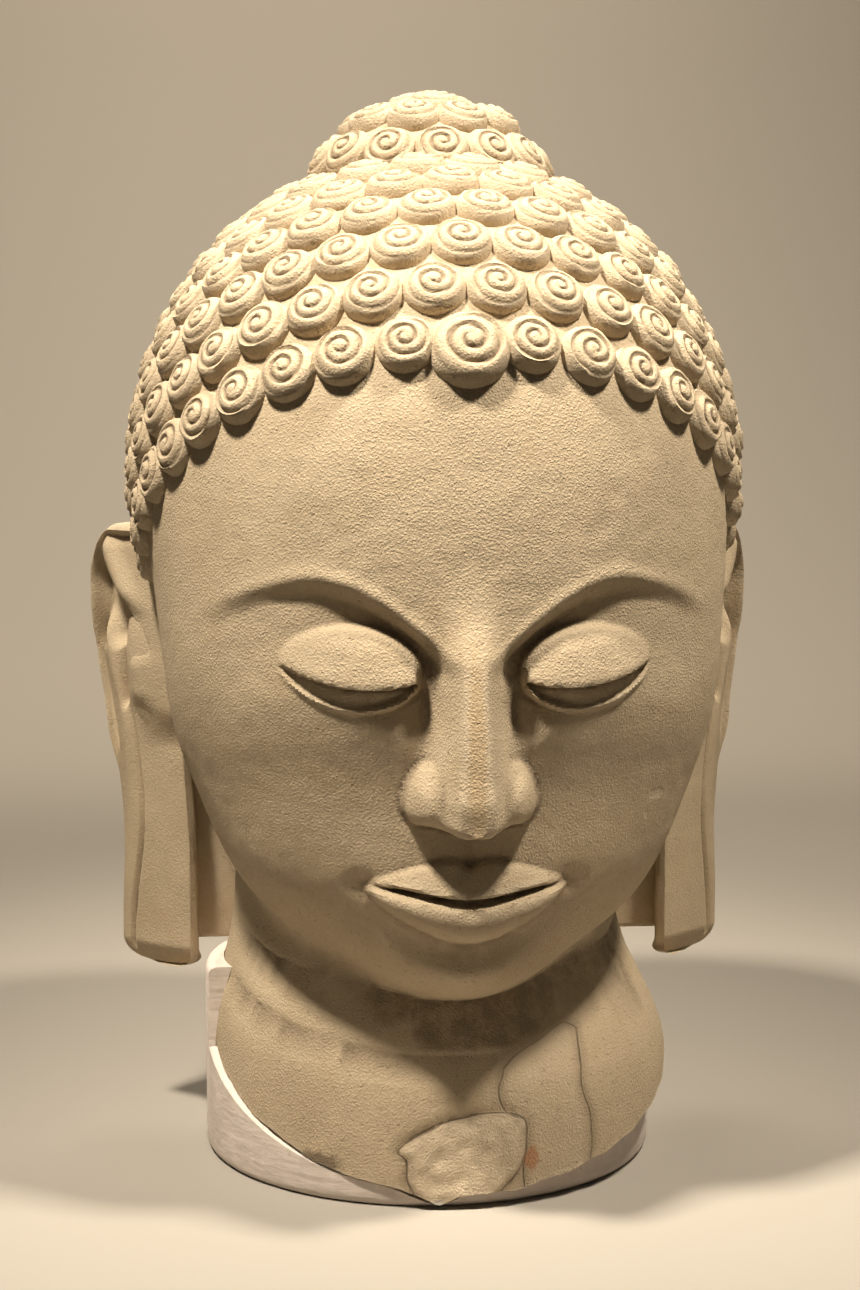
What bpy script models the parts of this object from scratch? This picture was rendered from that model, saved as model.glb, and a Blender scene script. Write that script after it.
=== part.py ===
"""A stone Buddha head, broken off at the neck, on the round plaster cradle that holds it up.

Metres, +Z up. The face looks along -Y and the head is upright about the Z axis.
The origin is on the cradle's underside, straight below the middle of the head.
"""

import math

import bmesh
import bpy
import numpy as np
from mathutils import Matrix, Vector

# Driving dimensions, in metres and degrees.
# The carver's canon measures a face in fingers: twelve from the hairline to the chin.
FINGER = 0.0165
HAIRLINE_HEIGHT = 0.277
FACE_TILT = 5.0

# The skull, without its curls.
SKULL_CENTRE = (0.0, 0.008, 0.247)
SKULL_RADII = (0.107, 0.121, 0.112)

# The crown knob.
KNOB_CENTRE = (0.0, 0.016, 0.3437)
KNOB_RADII = (0.0423, 0.0430, 0.0363)
KNOB_ROW_ANGLE = 67.0

# The neck leans back under the chin, flares towards the shoulders and has two soft folds.
NECK_RADIUS = 0.0700
NECK_FLARE = 0.0150
NECK_SETBACK = 0.010
NECK_SIDE = -0.003
FLARE_HEIGHT = 0.063
FLARE_REACH = 0.010
FLARE_SHIFT = 0.005
FOLD_HEIGHTS = (0.049, 0.067)
FOLD_DEPTH = 0.0024
FOLD_WIDTH = 0.0032

# The break: a slant in front that falls a little to the figure's left, level further back,
# with one pointed tooth near the middle of the front edge.
BREAK_FRONT_HEIGHT = 0.0045
BREAK_BACK_HEIGHT = 0.057
BREAK_RISE_BACKWARDS = 0.46
BREAK_FALL_SIDEWAYS = 0.01
TOOTH_PLACE = -0.0075
TOOTH_BOTTOM = 0.0006
TOOTH_HALF_WIDTH = 0.032
TOOTH_HALF_HEIGHT = 0.013
TOOTH_DEPTH = 0.012

# The snail-shell curls, in rings about an axis that leans back from the upright.
CURL_RADIUS = 0.0103
CURL_HEIGHT = 0.0075
CURL_SPACING = 0.0196
CURL_SINK = 0.0012
FRONT_CURL_SCALE = 1.3
FRONT_CURL_DROP = 0.003
HAIR_LEAN = 35.0
HAIRLINE_ANGLE = 103.0
NAPE_ROWS = 2
NAPE_HEIGHT = 0.165

# The ears: long plates with distended lobes, turned outwards.
EAR_TOP = 0.228
EAR_LENGTH = 0.169
EAR_TURN = 36.0
EAR_TOP_CENTRE = (0.1095, 0.034)
EAR_LOBE_CENTRE = (0.1012, 0.032)
EAR_TOP_HALF_WIDTH = 0.0235
EAR_LOBE_HALF_WIDTH = 0.0185
EAR_HALF_THICKNESS = 0.0060
EAR_RIM_WIDTH = 0.0055
EAR_RIM_HEIGHT = 0.0030
EAR_GROOVE_WIDTH = 0.0026
EAR_GROOVE_DEPTH = 0.0048
EAR_WEB_SIZE = (0.040, 0.020, 0.1355)
EAR_WEB_CENTRE = (0.081, 0.038, 0.13725)

# The cradle.
CRADLE_RADIUS = 0.082
CRADLE_HEIGHT = 0.068
CRADLE_EDGE = 0.003
COLLAR_FRONT = -0.012
COLLAR_SIDE = 0.030
SEAT_CLEARANCE = 0.0014
BREAK_GAP = 0.0003

# How finely the stone is sampled, and how many triangles are kept.
CORE_COLUMNS = 224
CORE_RINGS = 200
VOXEL = FINGER / 11
STONE_TRIANGLES = 8750

# Worked out from the sizes above.
BROW_HEIGHT = HAIRLINE_HEIGHT - 4 * FINGER
CHIN_HEIGHT = HAIRLINE_HEIGHT - 12 * FINGER
TILT_PIVOT = np.array((0.0, 0.0, HAIRLINE_HEIGHT - 6.5 * FINGER))
RAY_CENTRE = np.array((0.0, 0.004, HAIRLINE_HEIGHT - 3.8 * FINGER))
NECK_LEAN = 150.0
TRACE_START = 0.24
TRACE_STEPS = 46

STONE_COLOUR = (0.52, 0.43, 0.31, 1.0)
PLASTER_COLOUR = (0.80, 0.74, 0.68, 1.0)


def smooth_step(low, high, value):
    """0 below low and 1 above high, with a smooth rise between, for numbers or arrays."""
    share = np.clip((value - low) / (high - low), 0.0, 1.0)
    return share * share * (3.0 - 2.0 * share)


def smooth_min(first, second, reach):
    """The smaller of two distances, blended where they lie within reach of each other."""
    share = np.clip(0.5 + 0.5 * (second - first) / reach, 0.0, 1.0)
    return second * (1 - share) + first * share - reach * share * (1 - share)


def smooth_max(first, second, reach):
    """The larger of two values, blended where they lie within reach of each other."""
    return -smooth_min(-first, -second, reach)


def rotate_x(points, degrees):
    """Points turned about the X axis."""
    angle = math.radians(degrees)
    turned = points.copy()
    turned[:, 1] = points[:, 1] * math.cos(angle) - points[:, 2] * math.sin(angle)
    turned[:, 2] = points[:, 1] * math.sin(angle) + points[:, 2] * math.cos(angle)
    return turned


def to_face(points):
    """Points in the bowed face's own upright frame."""
    return rotate_x(points - TILT_PIVOT, -FACE_TILT) + TILT_PIVOT


def from_face(points):
    """Points of the face's frame back on the bowed head."""
    return rotate_x(points - TILT_PIVOT, FACE_TILT) + TILT_PIVOT


def ellipsoid_distance(points, centre, radii):
    """Roughly the distance to an ellipsoid, negative inside it."""
    scaled = (points - np.array(centre)) / np.array(radii)
    length = np.linalg.norm(scaled, axis=1)
    slope = np.linalg.norm(scaled / np.array(radii), axis=1)
    return length * (length - 1.0) / np.maximum(slope, 1e-9)


def neck_distance(points):
    """The distance to the neck: a round shaft, flared below and ringed in front by the folds."""
    height = np.clip(points[:, 2], 0.0, None)
    flared = 1 / (1 + np.exp((height - FLARE_HEIGHT) / FLARE_REACH))
    x = points[:, 0] - NECK_SIDE - FLARE_SHIFT * flared**2
    y = points[:, 1] - NECK_SETBACK * (1 - flared)
    away = np.maximum(np.hypot(x, y), 1e-6)
    radius = NECK_RADIUS + NECK_FLARE * flared
    facing = np.clip(-y / away, 0.0, 1.0)
    for fold in FOLD_HEIGHTS:
        line = fold + 1.2 * FINGER * (1 - facing)
        groove = np.exp(-(((height - line) / FOLD_WIDTH) ** 2))
        radius = radius - FOLD_DEPTH * groove * smooth_step(0.05, 0.5, facing)
    return np.maximum(away - radius, points[:, 2] - SKULL_CENTRE[2])


def seat_distance(points):
    """The neck alone, closed below its foot."""
    return np.maximum(neck_distance(points), -0.02 - points[:, 2])


def stone_distance(points):
    """The masses of the head blended into one form: skull, knob, face, jaw, chin and neck."""
    f = FINGER
    skull = ellipsoid_distance(points, SKULL_CENTRE, SKULL_RADII)
    knob = ellipsoid_distance(points, KNOB_CENTRE, KNOB_RADII)
    face_points = to_face(points)
    middle = (0.0, -1.3 * f, BROW_HEIGHT - 1.2 * f)
    face = ellipsoid_distance(face_points, middle, (6.0 * f, 5.55 * f, 6.85 * f))
    jaw_centre = (0.0, -2.3 * f, CHIN_HEIGHT + 3.1 * f)
    jaw = ellipsoid_distance(face_points, jaw_centre, (4.4 * f, 4.1 * f, 3.2 * f))
    chin_centre = (0.0, -4.45 * f, CHIN_HEIGHT + 1.4 * f)
    chin = ellipsoid_distance(face_points, chin_centre, (1.8 * f, 1.75 * f, 1.4 * f))
    head = smooth_min(face, jaw, 1.2 * f)
    head = smooth_min(head, chin, 1.3 * f)
    head = smooth_min(skull, head, 1.0 * f)
    head = smooth_min(head, neck_distance(points), 0.45 * f)
    head = smooth_min(head, knob, 0.2 * f)
    return np.maximum(head, -0.02 - points[:, 2])


def trace(origins, directions, grow=0.0, distance=stone_distance):
    """Where each ray, followed inwards from outside, meets a form grown by a margin."""
    reach = np.full(len(directions), TRACE_START)
    for _ in range(TRACE_STEPS):
        points = origins + directions * reach[:, None]
        reach = np.maximum(reach - 0.9 * (distance(points) - grow), 0.0)
    return origins + directions * reach[:, None]


def brow_line(across):
    """The height in fingers of the brow's edge, a bow from the nose's root to the temple."""
    rise = np.clip((across - 0.45) / 2.55, 0.0, 1.0)
    fall = np.clip((across - 3.0) / 2.2, 0.0, 1.0)
    return -0.55 + 1.45 * np.sin(rise * math.pi / 2) - 0.95 * fall**1.7


def brow_relief(across, up):
    """The eye socket, cut back below the brow's crisp edge."""
    below = brow_line(across) - up
    depth = 0.40 - 0.26 * smooth_step(1.2, 4.2, across)
    cut = smooth_step(0.0, 0.5, below) * (1 - smooth_step(1.1, 2.6, below))
    side = smooth_step(0.15, 0.9, across) * (1 - smooth_step(4.3, 5.4, across))
    edge = 0.035 * np.exp(-((below / 0.16) ** 2)) * side
    return edge - depth * cut * side


EYE_CENTRE = 2.38
EYE_HALF_WIDTH = 1.34
EYE_LEVEL = -0.98


def eye_relief(across, up):
    """The lidded eyeball: a full upper lid, a narrow downcast opening and a thin lower rim."""
    along = (across - EYE_CENTRE) / EYE_HALF_WIDTH
    inside = np.clip(1 - along**2, 0.0, 1.0)
    corner = EYE_LEVEL + 0.10 * along
    upper = corner - 0.24 * inside**0.9
    lower = corner - 0.64 * inside**0.75
    dome = 1 - (along / 1.16) ** 2 - ((up - EYE_LEVEL - 0.02) / 1.02) ** 2
    ball = 0.52 * np.sqrt(np.clip(dome, 0.0, 1.0)) * smooth_step(0.0, 0.3, dome)
    spread = smooth_step(0.0, 0.12, inside)
    lid = 0.085 * np.exp(-((np.clip(up - upper, 0, 9) / 0.30) ** 2)) * (up > upper)
    opening = smooth_step(-0.03, 0.03, upper - up) * smooth_step(-0.03, 0.03, up - lower)
    slit = -0.10 * opening - 0.07 * opening * np.exp(-(((upper - up) / 0.07) ** 2))
    rim = 0.085 * np.exp(-(((up - lower + 0.07) / 0.075) ** 2))
    crease = -0.07 * np.exp(-(((up - lower + 0.24) / 0.075) ** 2))
    return ball + spread * (lid + slit + rim + crease)


def nose_relief(across, up):
    """A straight ridge that widens to the tip, with round wings and a level underside."""
    along = np.clip((0.5 - up) / 4.45, 0.0, 1.0)
    height = 0.26 + 1.22 * along**1.25
    height = height * smooth_step(1.3, -0.7, up)
    height = height - 0.22 * smooth_step(-3.15, -4.05, up)
    ridge = 0.10 + 0.20 * along**2
    foot = 0.76 + 0.50 * along
    bridge = height * (1 - smooth_step(ridge, foot, across))
    wing_rise = (up + 3.5) / np.where(up > -3.5, 0.95, 0.56)
    dome = 1 - ((across - 0.76) / 0.58) ** 2 - wing_rise**2
    wing = 0.84 * np.clip(dome, 0.0, 1.0) ** 0.7
    solid = smooth_max(bridge, wing, 0.30) - 0.075
    base = -3.98 + 0.12 * smooth_step(0.1, 0.9, across)
    under = smooth_step(base - 0.10, base + 0.07, up)
    nostril = ((across - 0.48) / 0.22) ** 2 + ((up - base) / 0.13) ** 2
    return np.clip(solid, 0, None) * under - 0.26 * np.exp(-nostril) * under


MOUTH_HALF_WIDTH = 2.08
MOUTH_LEVEL = -5.36


def mouth_relief(across, up):
    """Full lips with a bowed upper edge, closed on a gently waved line."""
    along = np.clip(across / MOUTH_HALF_WIDTH, 0.0, 1.0)
    line = MOUTH_LEVEL - 0.05 * np.cos(along * math.pi * 1.7) + 0.13 * along**2
    bow = 0.72 + 0.10 * np.exp(-(((across - 0.45) / 0.30) ** 2)) - 0.09 * np.exp(-((across / 0.2) ** 2))
    top = line + bow * (1 - along**1.7)
    full = np.clip(1 - along**2.4, 0.0, 1.0)
    bottom = line - 0.92 * full**0.85
    fade = np.clip(1 - along**4, 0.0, 1.0)
    upper_share = np.clip((top - up) / np.maximum(top - line, 0.02), 0.0, 1.0)
    in_upper = smooth_step(-0.03, 0.03, top - up) * (up >= line)
    upper = (0.11 + 0.33 * upper_share) * in_upper
    lower_share = np.clip((line - up) / np.maximum(line - bottom, 0.02), 0.0, 1.0)
    in_lower = smooth_step(-0.04, 0.04, up - bottom) * (up < line)
    lower = (0.14 + 0.38 * np.sin(math.pi * (0.12 + 0.80 * lower_share)) ** 0.8) * in_lower
    parting = -0.30 * np.exp(-(((up - line) / 0.06) ** 2))
    hollow = -0.22 * np.exp(-((across / 1.4) ** 2) - (((up - bottom + 0.40) / 0.34) ** 2))
    mound = 0.22 * np.exp(-((across / 2.3) ** 2) - (((up + 5.3) / 1.1) ** 2))
    corner = -0.10 * np.exp(-(((across - 2.1) / 0.30) ** 2) - (((up - line) / 0.26) ** 2))
    channel = -0.07 * np.exp(-((across / 0.2) ** 2)) * smooth_step(-4.9, -4.5, up) * (up < -3.9)
    chin = 0.30 * np.exp(-((across / 1.3) ** 2) - (((up + 7.15) / 0.75) ** 2))
    return (upper + lower + parting) * fade + hollow * (up < line) + mound + corner + channel + chin


def face_relief(points):
    """How far the carving of the face stands out towards the front, in metres."""
    across = np.abs(points[:, 0]) / FINGER
    up = (points[:, 2] - BROW_HEIGHT) / FINGER
    relief = brow_relief(across, up) + mouth_relief(across, up)
    relief = smooth_max(relief, eye_relief(across, up) - 0.40, 0.10)
    relief = relief + nose_relief(across, up)
    front = smooth_step(-0.5, -2.5, points[:, 1] / FINGER)
    return relief * FINGER * front


def carve_face(points):
    """Points of the plain form moved out or in by the face's relief."""
    upright = to_face(points)
    upright[:, 1] -= face_relief(upright)
    return from_face(upright)


def crowd(share, middle, width, extra):
    """Shares from 0 to 1 moved closer together about the middle, where detail is needed."""
    fine = np.linspace(0.0, 1.0, 4001)
    density = 1 + extra * np.exp(-(((fine - middle) / width) ** 4))
    total = np.concatenate(([0.0], np.cumsum((density[1:] + density[:-1]) / 2)))
    return np.interp(share, total / total[-1], fine)


def core_rays(unit_points):
    """A ray for each point of a UV sphere: crowded over the face, stepping down the neck."""
    turn = np.arctan2(unit_points[:, 0], unit_points[:, 1]) / (2 * math.pi)
    turn = 2 * math.pi * (crowd(np.mod(turn, 1.0), 0.5, 0.15, 2.4) - 0.5)
    down = np.arccos(np.clip(unit_points[:, 2], -1, 1)) / math.pi
    down = crowd(down, 0.54, 0.20, 1.4)
    lean = np.radians(np.interp(down, (0.0, 0.80, 0.95, 1.0), (0.0, NECK_LEAN, NECK_LEAN, 180.0)))
    drop = np.interp(down, (0.80, 0.95), (0.0, 1.2 * NECK_RADIUS))
    pole = np.hypot(unit_points[:, 0], unit_points[:, 1]) < 1e-6
    flat = np.where(pole, 0.0, np.sin(lean))
    directions = np.stack((flat * np.sin(turn), -flat * np.cos(turn), np.cos(lean)), axis=1)
    origins = RAY_CENTRE - drop[:, None] * np.array((0.0, 0.0, 1.0))
    return origins, directions


def mesh_points(mesh):
    """A mesh's vertices as an array."""
    points = np.empty(len(mesh.vertices) * 3)
    mesh.vertices.foreach_get("co", points)
    return points.reshape(-1, 3)


def set_points(mesh, points):
    """Writes an array back to a mesh's vertices."""
    mesh.vertices.foreach_set("co", np.ascontiguousarray(points, np.float64).ravel())
    mesh.update()


def sphere_mesh(name, columns, rings):
    """A UV sphere of radius 1."""
    made = bmesh.new()
    bmesh.ops.create_uvsphere(made, u_segments=columns, v_segments=rings, radius=1.0)
    mesh = bpy.data.meshes.new(name)
    made.to_mesh(mesh)
    made.free()
    return mesh


def core_mesh(name, columns, rings, grow=0.0, distance=stone_distance):
    """A plain form of the stone as a closed mesh: a sphere's points drawn onto it."""
    mesh = sphere_mesh(name, columns, rings)
    origins, directions = core_rays(mesh_points(mesh))
    set_points(mesh, trace(origins, directions, grow, distance))
    mesh.flip_normals()
    return mesh


def surface_frame(origin, direction):
    """The point and the outward normal where a ray from inside leaves the stone."""
    upwards = Vector(direction).normalized()
    side = upwards.orthogonal().normalized()
    ahead = upwards.cross(side)
    nudge = 0.01
    rays = [upwards, upwards + side * nudge, upwards + ahead * nudge]
    directions = np.array([ray.normalized() for ray in rays])
    hits = trace(np.repeat(np.array([origin]), 3, axis=0), directions)
    at, beside, before = (Vector(hit) for hit in hits)
    return at, (beside - at).cross(before - at).normalized()


def ring_direction(lean_back, from_axis, turn):
    """A direction at an angle from an axis that leans back, turned about it from the front."""
    flat = math.sin(from_axis)
    direction = Vector((flat * math.sin(turn), -flat * math.cos(turn), math.cos(from_axis)))
    return Matrix.Rotation(-lean_back, 3, "X") @ direction


def on_knob(point, margin):
    """Whether a point of the scalp lies under the crown knob."""
    away = math.hypot(point.x - KNOB_CENTRE[0], point.y - KNOB_CENTRE[1])
    return away < KNOB_RADII[0] + margin and point.z > SKULL_CENTRE[2]


def behind_ear(point):
    """Whether a point of the scalp is covered by an ear's root."""
    near = abs(point.y - EAR_TOP_CENTRE[1]) < EAR_TOP_HALF_WIDTH
    return near and point.z < EAR_TOP and abs(point.x) > 0.5 * SKULL_RADII[0]


def scalp_curls():
    """Where the curls of the scalp stand: (point, normal, scale) for each."""
    found = []
    skull = sum(SKULL_RADII) / 3
    step = CURL_SPACING / (skull + CURL_HEIGHT / 2)
    edge = math.radians(HAIRLINE_ANGLE)
    rows = int(edge / step)
    for row in range(-NAPE_ROWS, rows + 1):
        from_axis = edge - row * step
        if from_axis < step / 3:
            continue
        count = max(3, round(2 * math.pi * math.sin(from_axis) / step))
        for place in range(count):
            turn = 2 * math.pi * (place + 0.5 * (row % 2)) / count
            direction = ring_direction(math.radians(HAIR_LEAN), from_axis, turn)
            point, normal = surface_frame(SKULL_CENTRE, direction)
            before_ear = row < 0 and point.y < EAR_TOP_CENTRE[1]
            if before_ear or behind_ear(point) or point.z < NAPE_HEIGHT:
                continue
            if on_knob(point, 0.35 * CURL_RADIUS):
                continue
            scale = 1.0
            if row == 0 and place == 0:
                scale = FRONT_CURL_SCALE
                point.z -= FRONT_CURL_DROP
            found.append((point, normal, scale))
    return found


def knob_curls():
    """Where the curls of the crown knob stand."""
    found = []
    radius = (KNOB_RADII[0] + KNOB_RADII[2]) / 2 + CURL_HEIGHT / 2
    step = CURL_SPACING / radius
    edge = math.radians(KNOB_ROW_ANGLE)
    for row in range(int(edge / step) + 1):
        from_axis = edge - row * step
        count = max(1, round(2 * math.pi * math.sin(from_axis) / step))
        for place in range(count):
            turn = 2 * math.pi * (place + 0.5 * (row % 2)) / count
            direction = ring_direction(0.0, from_axis, turn)
            point, normal = surface_frame(KNOB_CENTRE, direction)
            found.append((point, normal, 0.96))
    return found


def curls_mesh(name):
    """All the curls as low domes sunk a little into the stone."""
    made = bmesh.new()
    for point, normal, scale in scalp_curls() + knob_curls():
        turned = normal.to_track_quat("Z", "Y").to_matrix().to_4x4()
        size = Matrix.Diagonal((CURL_RADIUS * scale, CURL_RADIUS * scale, CURL_HEIGHT * scale, 1.0))
        place = Matrix.Translation(point - normal * CURL_SINK) @ turned @ size
        bmesh.ops.create_icosphere(made, subdivisions=2, radius=1.0, matrix=place)
    mesh = bpy.data.meshes.new(name)
    made.to_mesh(mesh)
    made.free()
    return mesh


def ear_half_width(down):
    """The ear's half width, fore and aft, at a share of its height from the top."""
    waist = smooth_step(0.22, 0.62, down)
    width = EAR_TOP_HALF_WIDTH + (EAR_LOBE_HALF_WIDTH - EAR_TOP_HALF_WIDTH) * waist
    top_round = np.sqrt(np.clip(1 - np.clip(1 - down / 0.15, 0, 1) ** 2, 0, 1))
    foot_round = np.sqrt(np.clip(1 - np.clip((down - 0.965) / 0.035, 0, 1) ** 2, 0, 1))
    return width * (0.02 + 0.98 * top_round * foot_round)


def ear_relief(aft, down):
    """The carving of the ear's outer face, in metres: rim, hollow and the lobe's long groove."""
    half = ear_half_width(down)
    from_top = down * EAR_LENGTH
    inset = np.minimum(half - aft, from_top)
    upper = 1 - smooth_step(0.50, 0.68, down)
    rim = EAR_RIM_HEIGHT * (1 - smooth_step(EAR_RIM_WIDTH * 0.5, EAR_RIM_WIDTH, inset)) * upper
    valley = np.exp(-(((inset - 1.65 * EAR_RIM_WIDTH) / (0.7 * EAR_RIM_WIDTH)) ** 2))
    scoop = -1.3 * EAR_RIM_HEIGHT * valley * upper
    fold_at = 0.22 * EAR_TOP_HALF_WIDTH * (1 - 3.2 * (down - 0.3) ** 2)
    fold = np.exp(-(((aft - fold_at) / (0.16 * EAR_TOP_HALF_WIDTH)) ** 2))
    scoop = scoop + 0.6 * EAR_RIM_HEIGHT * fold * upper * smooth_step(0.08, 0.16, down)
    hollow_aft = (aft + 0.36 * EAR_TOP_HALF_WIDTH) / (0.36 * EAR_TOP_HALF_WIDTH)
    hollow = -2.0 * EAR_RIM_HEIGHT * np.exp(-(hollow_aft**2) - ((down - 0.37) / 0.085) ** 2)
    groove_at = -0.25 * EAR_LOBE_HALF_WIDTH + 0.35 * EAR_LOBE_HALF_WIDTH * smooth_step(0.5, 0.9, down)
    ends = smooth_step(0.42, 0.52, down) * (1 - smooth_step(0.86, 0.93, down))
    groove = -EAR_GROOVE_DEPTH * np.exp(-(((aft - groove_at) / EAR_GROOVE_WIDTH) ** 2)) * ends
    return rim + scoop + hollow + groove


def ear_mesh(name, side, columns, rings):
    """One ear as a closed mesh: a sphere's points drawn out to a long plate."""
    mesh = sphere_mesh(name, columns, rings)
    unit = mesh_points(mesh)
    down = np.arccos(np.clip(unit[:, 2], -1, 1)) / math.pi
    around = np.arctan2(unit[:, 1], unit[:, 0])
    pole = np.hypot(unit[:, 0], unit[:, 1]) < 1e-6
    half = np.where(pole, 0.0, ear_half_width(down))
    fore_aft, in_out = np.cos(around), np.sin(around)
    aft = half * np.sign(fore_aft) * np.abs(fore_aft) ** 0.75
    thick = EAR_HALF_THICKNESS * np.where(pole, 0.0, np.clip(half / EAR_LOBE_HALF_WIDTH, 0, 1) ** 0.6)
    outward = thick * np.sign(in_out) * np.abs(in_out) ** 0.6
    outward = outward + ear_relief(aft, down) * smooth_step(0.0, 0.5, in_out)
    top, lobe = np.array(EAR_TOP_CENTRE), np.array(EAR_LOBE_CENTRE)
    centre = top + (lobe - top) * smooth_step(0.1, 0.75, down)[:, None]
    turn = math.radians(EAR_TURN)
    x = centre[:, 0] + aft * math.sin(turn) + outward * math.cos(turn)
    y = centre[:, 1] + aft * math.cos(turn) - outward * math.sin(turn)
    set_points(mesh, np.stack((side * x, y, EAR_TOP - EAR_LENGTH * down), axis=1))
    if side < 0:
        mesh.flip_normals()
    return mesh


def web_mesh(name, side):
    """The stone left standing between an ear and the neck."""
    made = bmesh.new()
    place = Matrix.Translation((side * EAR_WEB_CENTRE[0], EAR_WEB_CENTRE[1], EAR_WEB_CENTRE[2]))
    bmesh.ops.create_cube(made, size=1.0, matrix=place @ Matrix.Diagonal((*EAR_WEB_SIZE, 1.0)))
    mesh = bpy.data.meshes.new(name)
    made.to_mesh(mesh)
    made.free()
    return mesh


def root_mesh(name, side):
    """The stone that joins the ear's upper half to the side of the head."""
    half = EAR_TOP_HALF_WIDTH
    mesh = sphere_mesh(name, 24, 16)
    centre = (side * (EAR_TOP_CENTRE[0] - 0.7 * half), EAR_TOP_CENTRE[1] - 0.1 * half, EAR_TOP - 2.1 * half)
    size = Matrix.Diagonal((0.85 * half, 0.62 * half, 1.75 * half, 1.0))
    mesh.transform(Matrix.Translation(centre) @ size)
    return mesh


def link(name, mesh, collection):
    """A new object of a mesh, in a collection."""
    made = bpy.data.objects.new(name, mesh)
    collection.objects.link(made)
    return made


def make_cutter(cutter):
    """Marks an object as a cutter that isn't part of the model."""
    cutter.hide_render = True
    cutter.display_type = "WIRE"
    return cutter


def break_matrix(drop=0.0):
    """The frame of the break: its Z axis is the normal and its origin is the front point."""
    front = Vector((NECK_SIDE, -(NECK_RADIUS + NECK_FLARE), BREAK_FRONT_HEIGHT - drop))
    normal = Vector((BREAK_FALL_SIDEWAYS, -BREAK_RISE_BACKWARDS, 1.0)).normalized()
    return Matrix.Translation(front) @ normal.to_track_quat("Z", "Y").to_matrix().to_4x4()


def tooth_mesh(name, gap):
    """The tooth of the break, a lying diamond through the front edge, with room round it."""
    made = bmesh.new()
    front = NECK_RADIUS + NECK_FLARE
    middle = (TOOTH_PLACE, TOOTH_DEPTH / 2 + gap - 1.5 * front, TOOTH_BOTTOM - gap + TOOTH_HALF_HEIGHT)
    size = (math.sqrt(2) * TOOTH_HALF_WIDTH, front + TOOTH_DEPTH, math.sqrt(2) * TOOTH_HALF_HEIGHT, 1.0)
    place = Matrix.Translation(middle) @ Matrix.Diagonal(size) @ Matrix.Rotation(math.pi / 4, 4, "Y")
    bmesh.ops.create_cube(made, size=1.0, matrix=place)
    mesh = bpy.data.meshes.new(name)
    made.to_mesh(mesh)
    made.free()
    return mesh


def box_mesh(name, low, high):
    """A box between two corners."""
    made = bmesh.new()
    low, high = Vector(low), Vector(high)
    place = Matrix.Translation((low + high) / 2) @ Matrix.Diagonal((*(high - low), 1.0))
    bmesh.ops.create_cube(made, size=1.0, matrix=place)
    mesh = bpy.data.meshes.new(name)
    made.to_mesh(mesh)
    made.free()
    return mesh


def cut(target, cutter, name, operation="DIFFERENCE"):
    """A Boolean modifier, which takes the cutter away unless another operation is named."""
    modifier = target.modifiers.new(name, "BOOLEAN")
    modifier.operation = operation
    modifier.solver = "EXACT"
    modifier.object = cutter
    return modifier


def below_break(name, gap, cutters):
    """A cutter that holds everything under the break, lowered by a gap."""
    reach = 2.4 * CRADLE_RADIUS
    wedge = link(name, box_mesh(name, (-reach, -reach, -reach), (reach, 2 * reach, 0)), cutters)
    wedge.matrix_world = break_matrix(gap)
    low, high = (-2 * reach, -2 * reach, BREAK_BACK_HEIGHT - gap), (2 * reach, 4 * reach, 4 * reach)
    level = link(name + "_level", box_mesh(name + "_level", low, high), cutters)
    cut(wedge, make_cutter(level), "level")
    tooth = link(name + "_tooth", tooth_mesh(name + "_tooth", gap), cutters)
    cut(wedge, make_cutter(tooth), "tooth")
    return make_cutter(wedge)


def plain_material(name, colour, roughness):
    """A plain finish: colour and roughness."""
    material = bpy.data.materials.new(name)
    material.use_nodes = True
    shader = material.node_tree.nodes["Principled BSDF"]
    shader.inputs["Base Color"].default_value = colour
    shader.inputs["Roughness"].default_value = roughness
    shader.inputs["Metallic"].default_value = 0.0
    return material


def triangle_count(target):
    """How many triangles an object has as its modifiers leave it."""
    graph = bpy.context.evaluated_depsgraph_get()
    evaluated = target.evaluated_get(graph)
    mesh = evaluated.to_mesh()
    mesh.calc_loop_triangles()
    count = len(mesh.loop_triangles)
    evaluated.to_mesh_clear()
    return count


def build_stone(collection, cutters):
    """The head: core, curls and ears fused to one solid, thinned and cut off at the break."""
    core = core_mesh("stone_head", CORE_COLUMNS, CORE_RINGS)
    set_points(core, carve_face(mesh_points(core)))
    pieces = [core, curls_mesh("curls")]
    for side in (-1, 1):
        pieces.append(ear_mesh("ear", side, 56, 72))
        pieces.append(web_mesh("web", side))
        pieces.append(root_mesh("root", side))
    joined = bmesh.new()
    for piece in pieces:
        joined.from_mesh(piece)
    for piece in pieces[1:]:
        bpy.data.meshes.remove(piece)
    joined.to_mesh(core)
    joined.free()
    stone = link("stone_head", core, collection)
    stone.data.materials.append(plain_material("buff_sandstone", STONE_COLOUR, 0.85))
    fuse = stone.modifiers.new("fuse", "REMESH")
    fuse.mode = "VOXEL"
    fuse.voxel_size = VOXEL
    thin = stone.modifiers.new("thin", "DECIMATE")
    thin.ratio = STONE_TRIANGLES / triangle_count(stone)
    cut(stone, below_break("below_break", 0.0, cutters), "break")
    return stone


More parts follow.
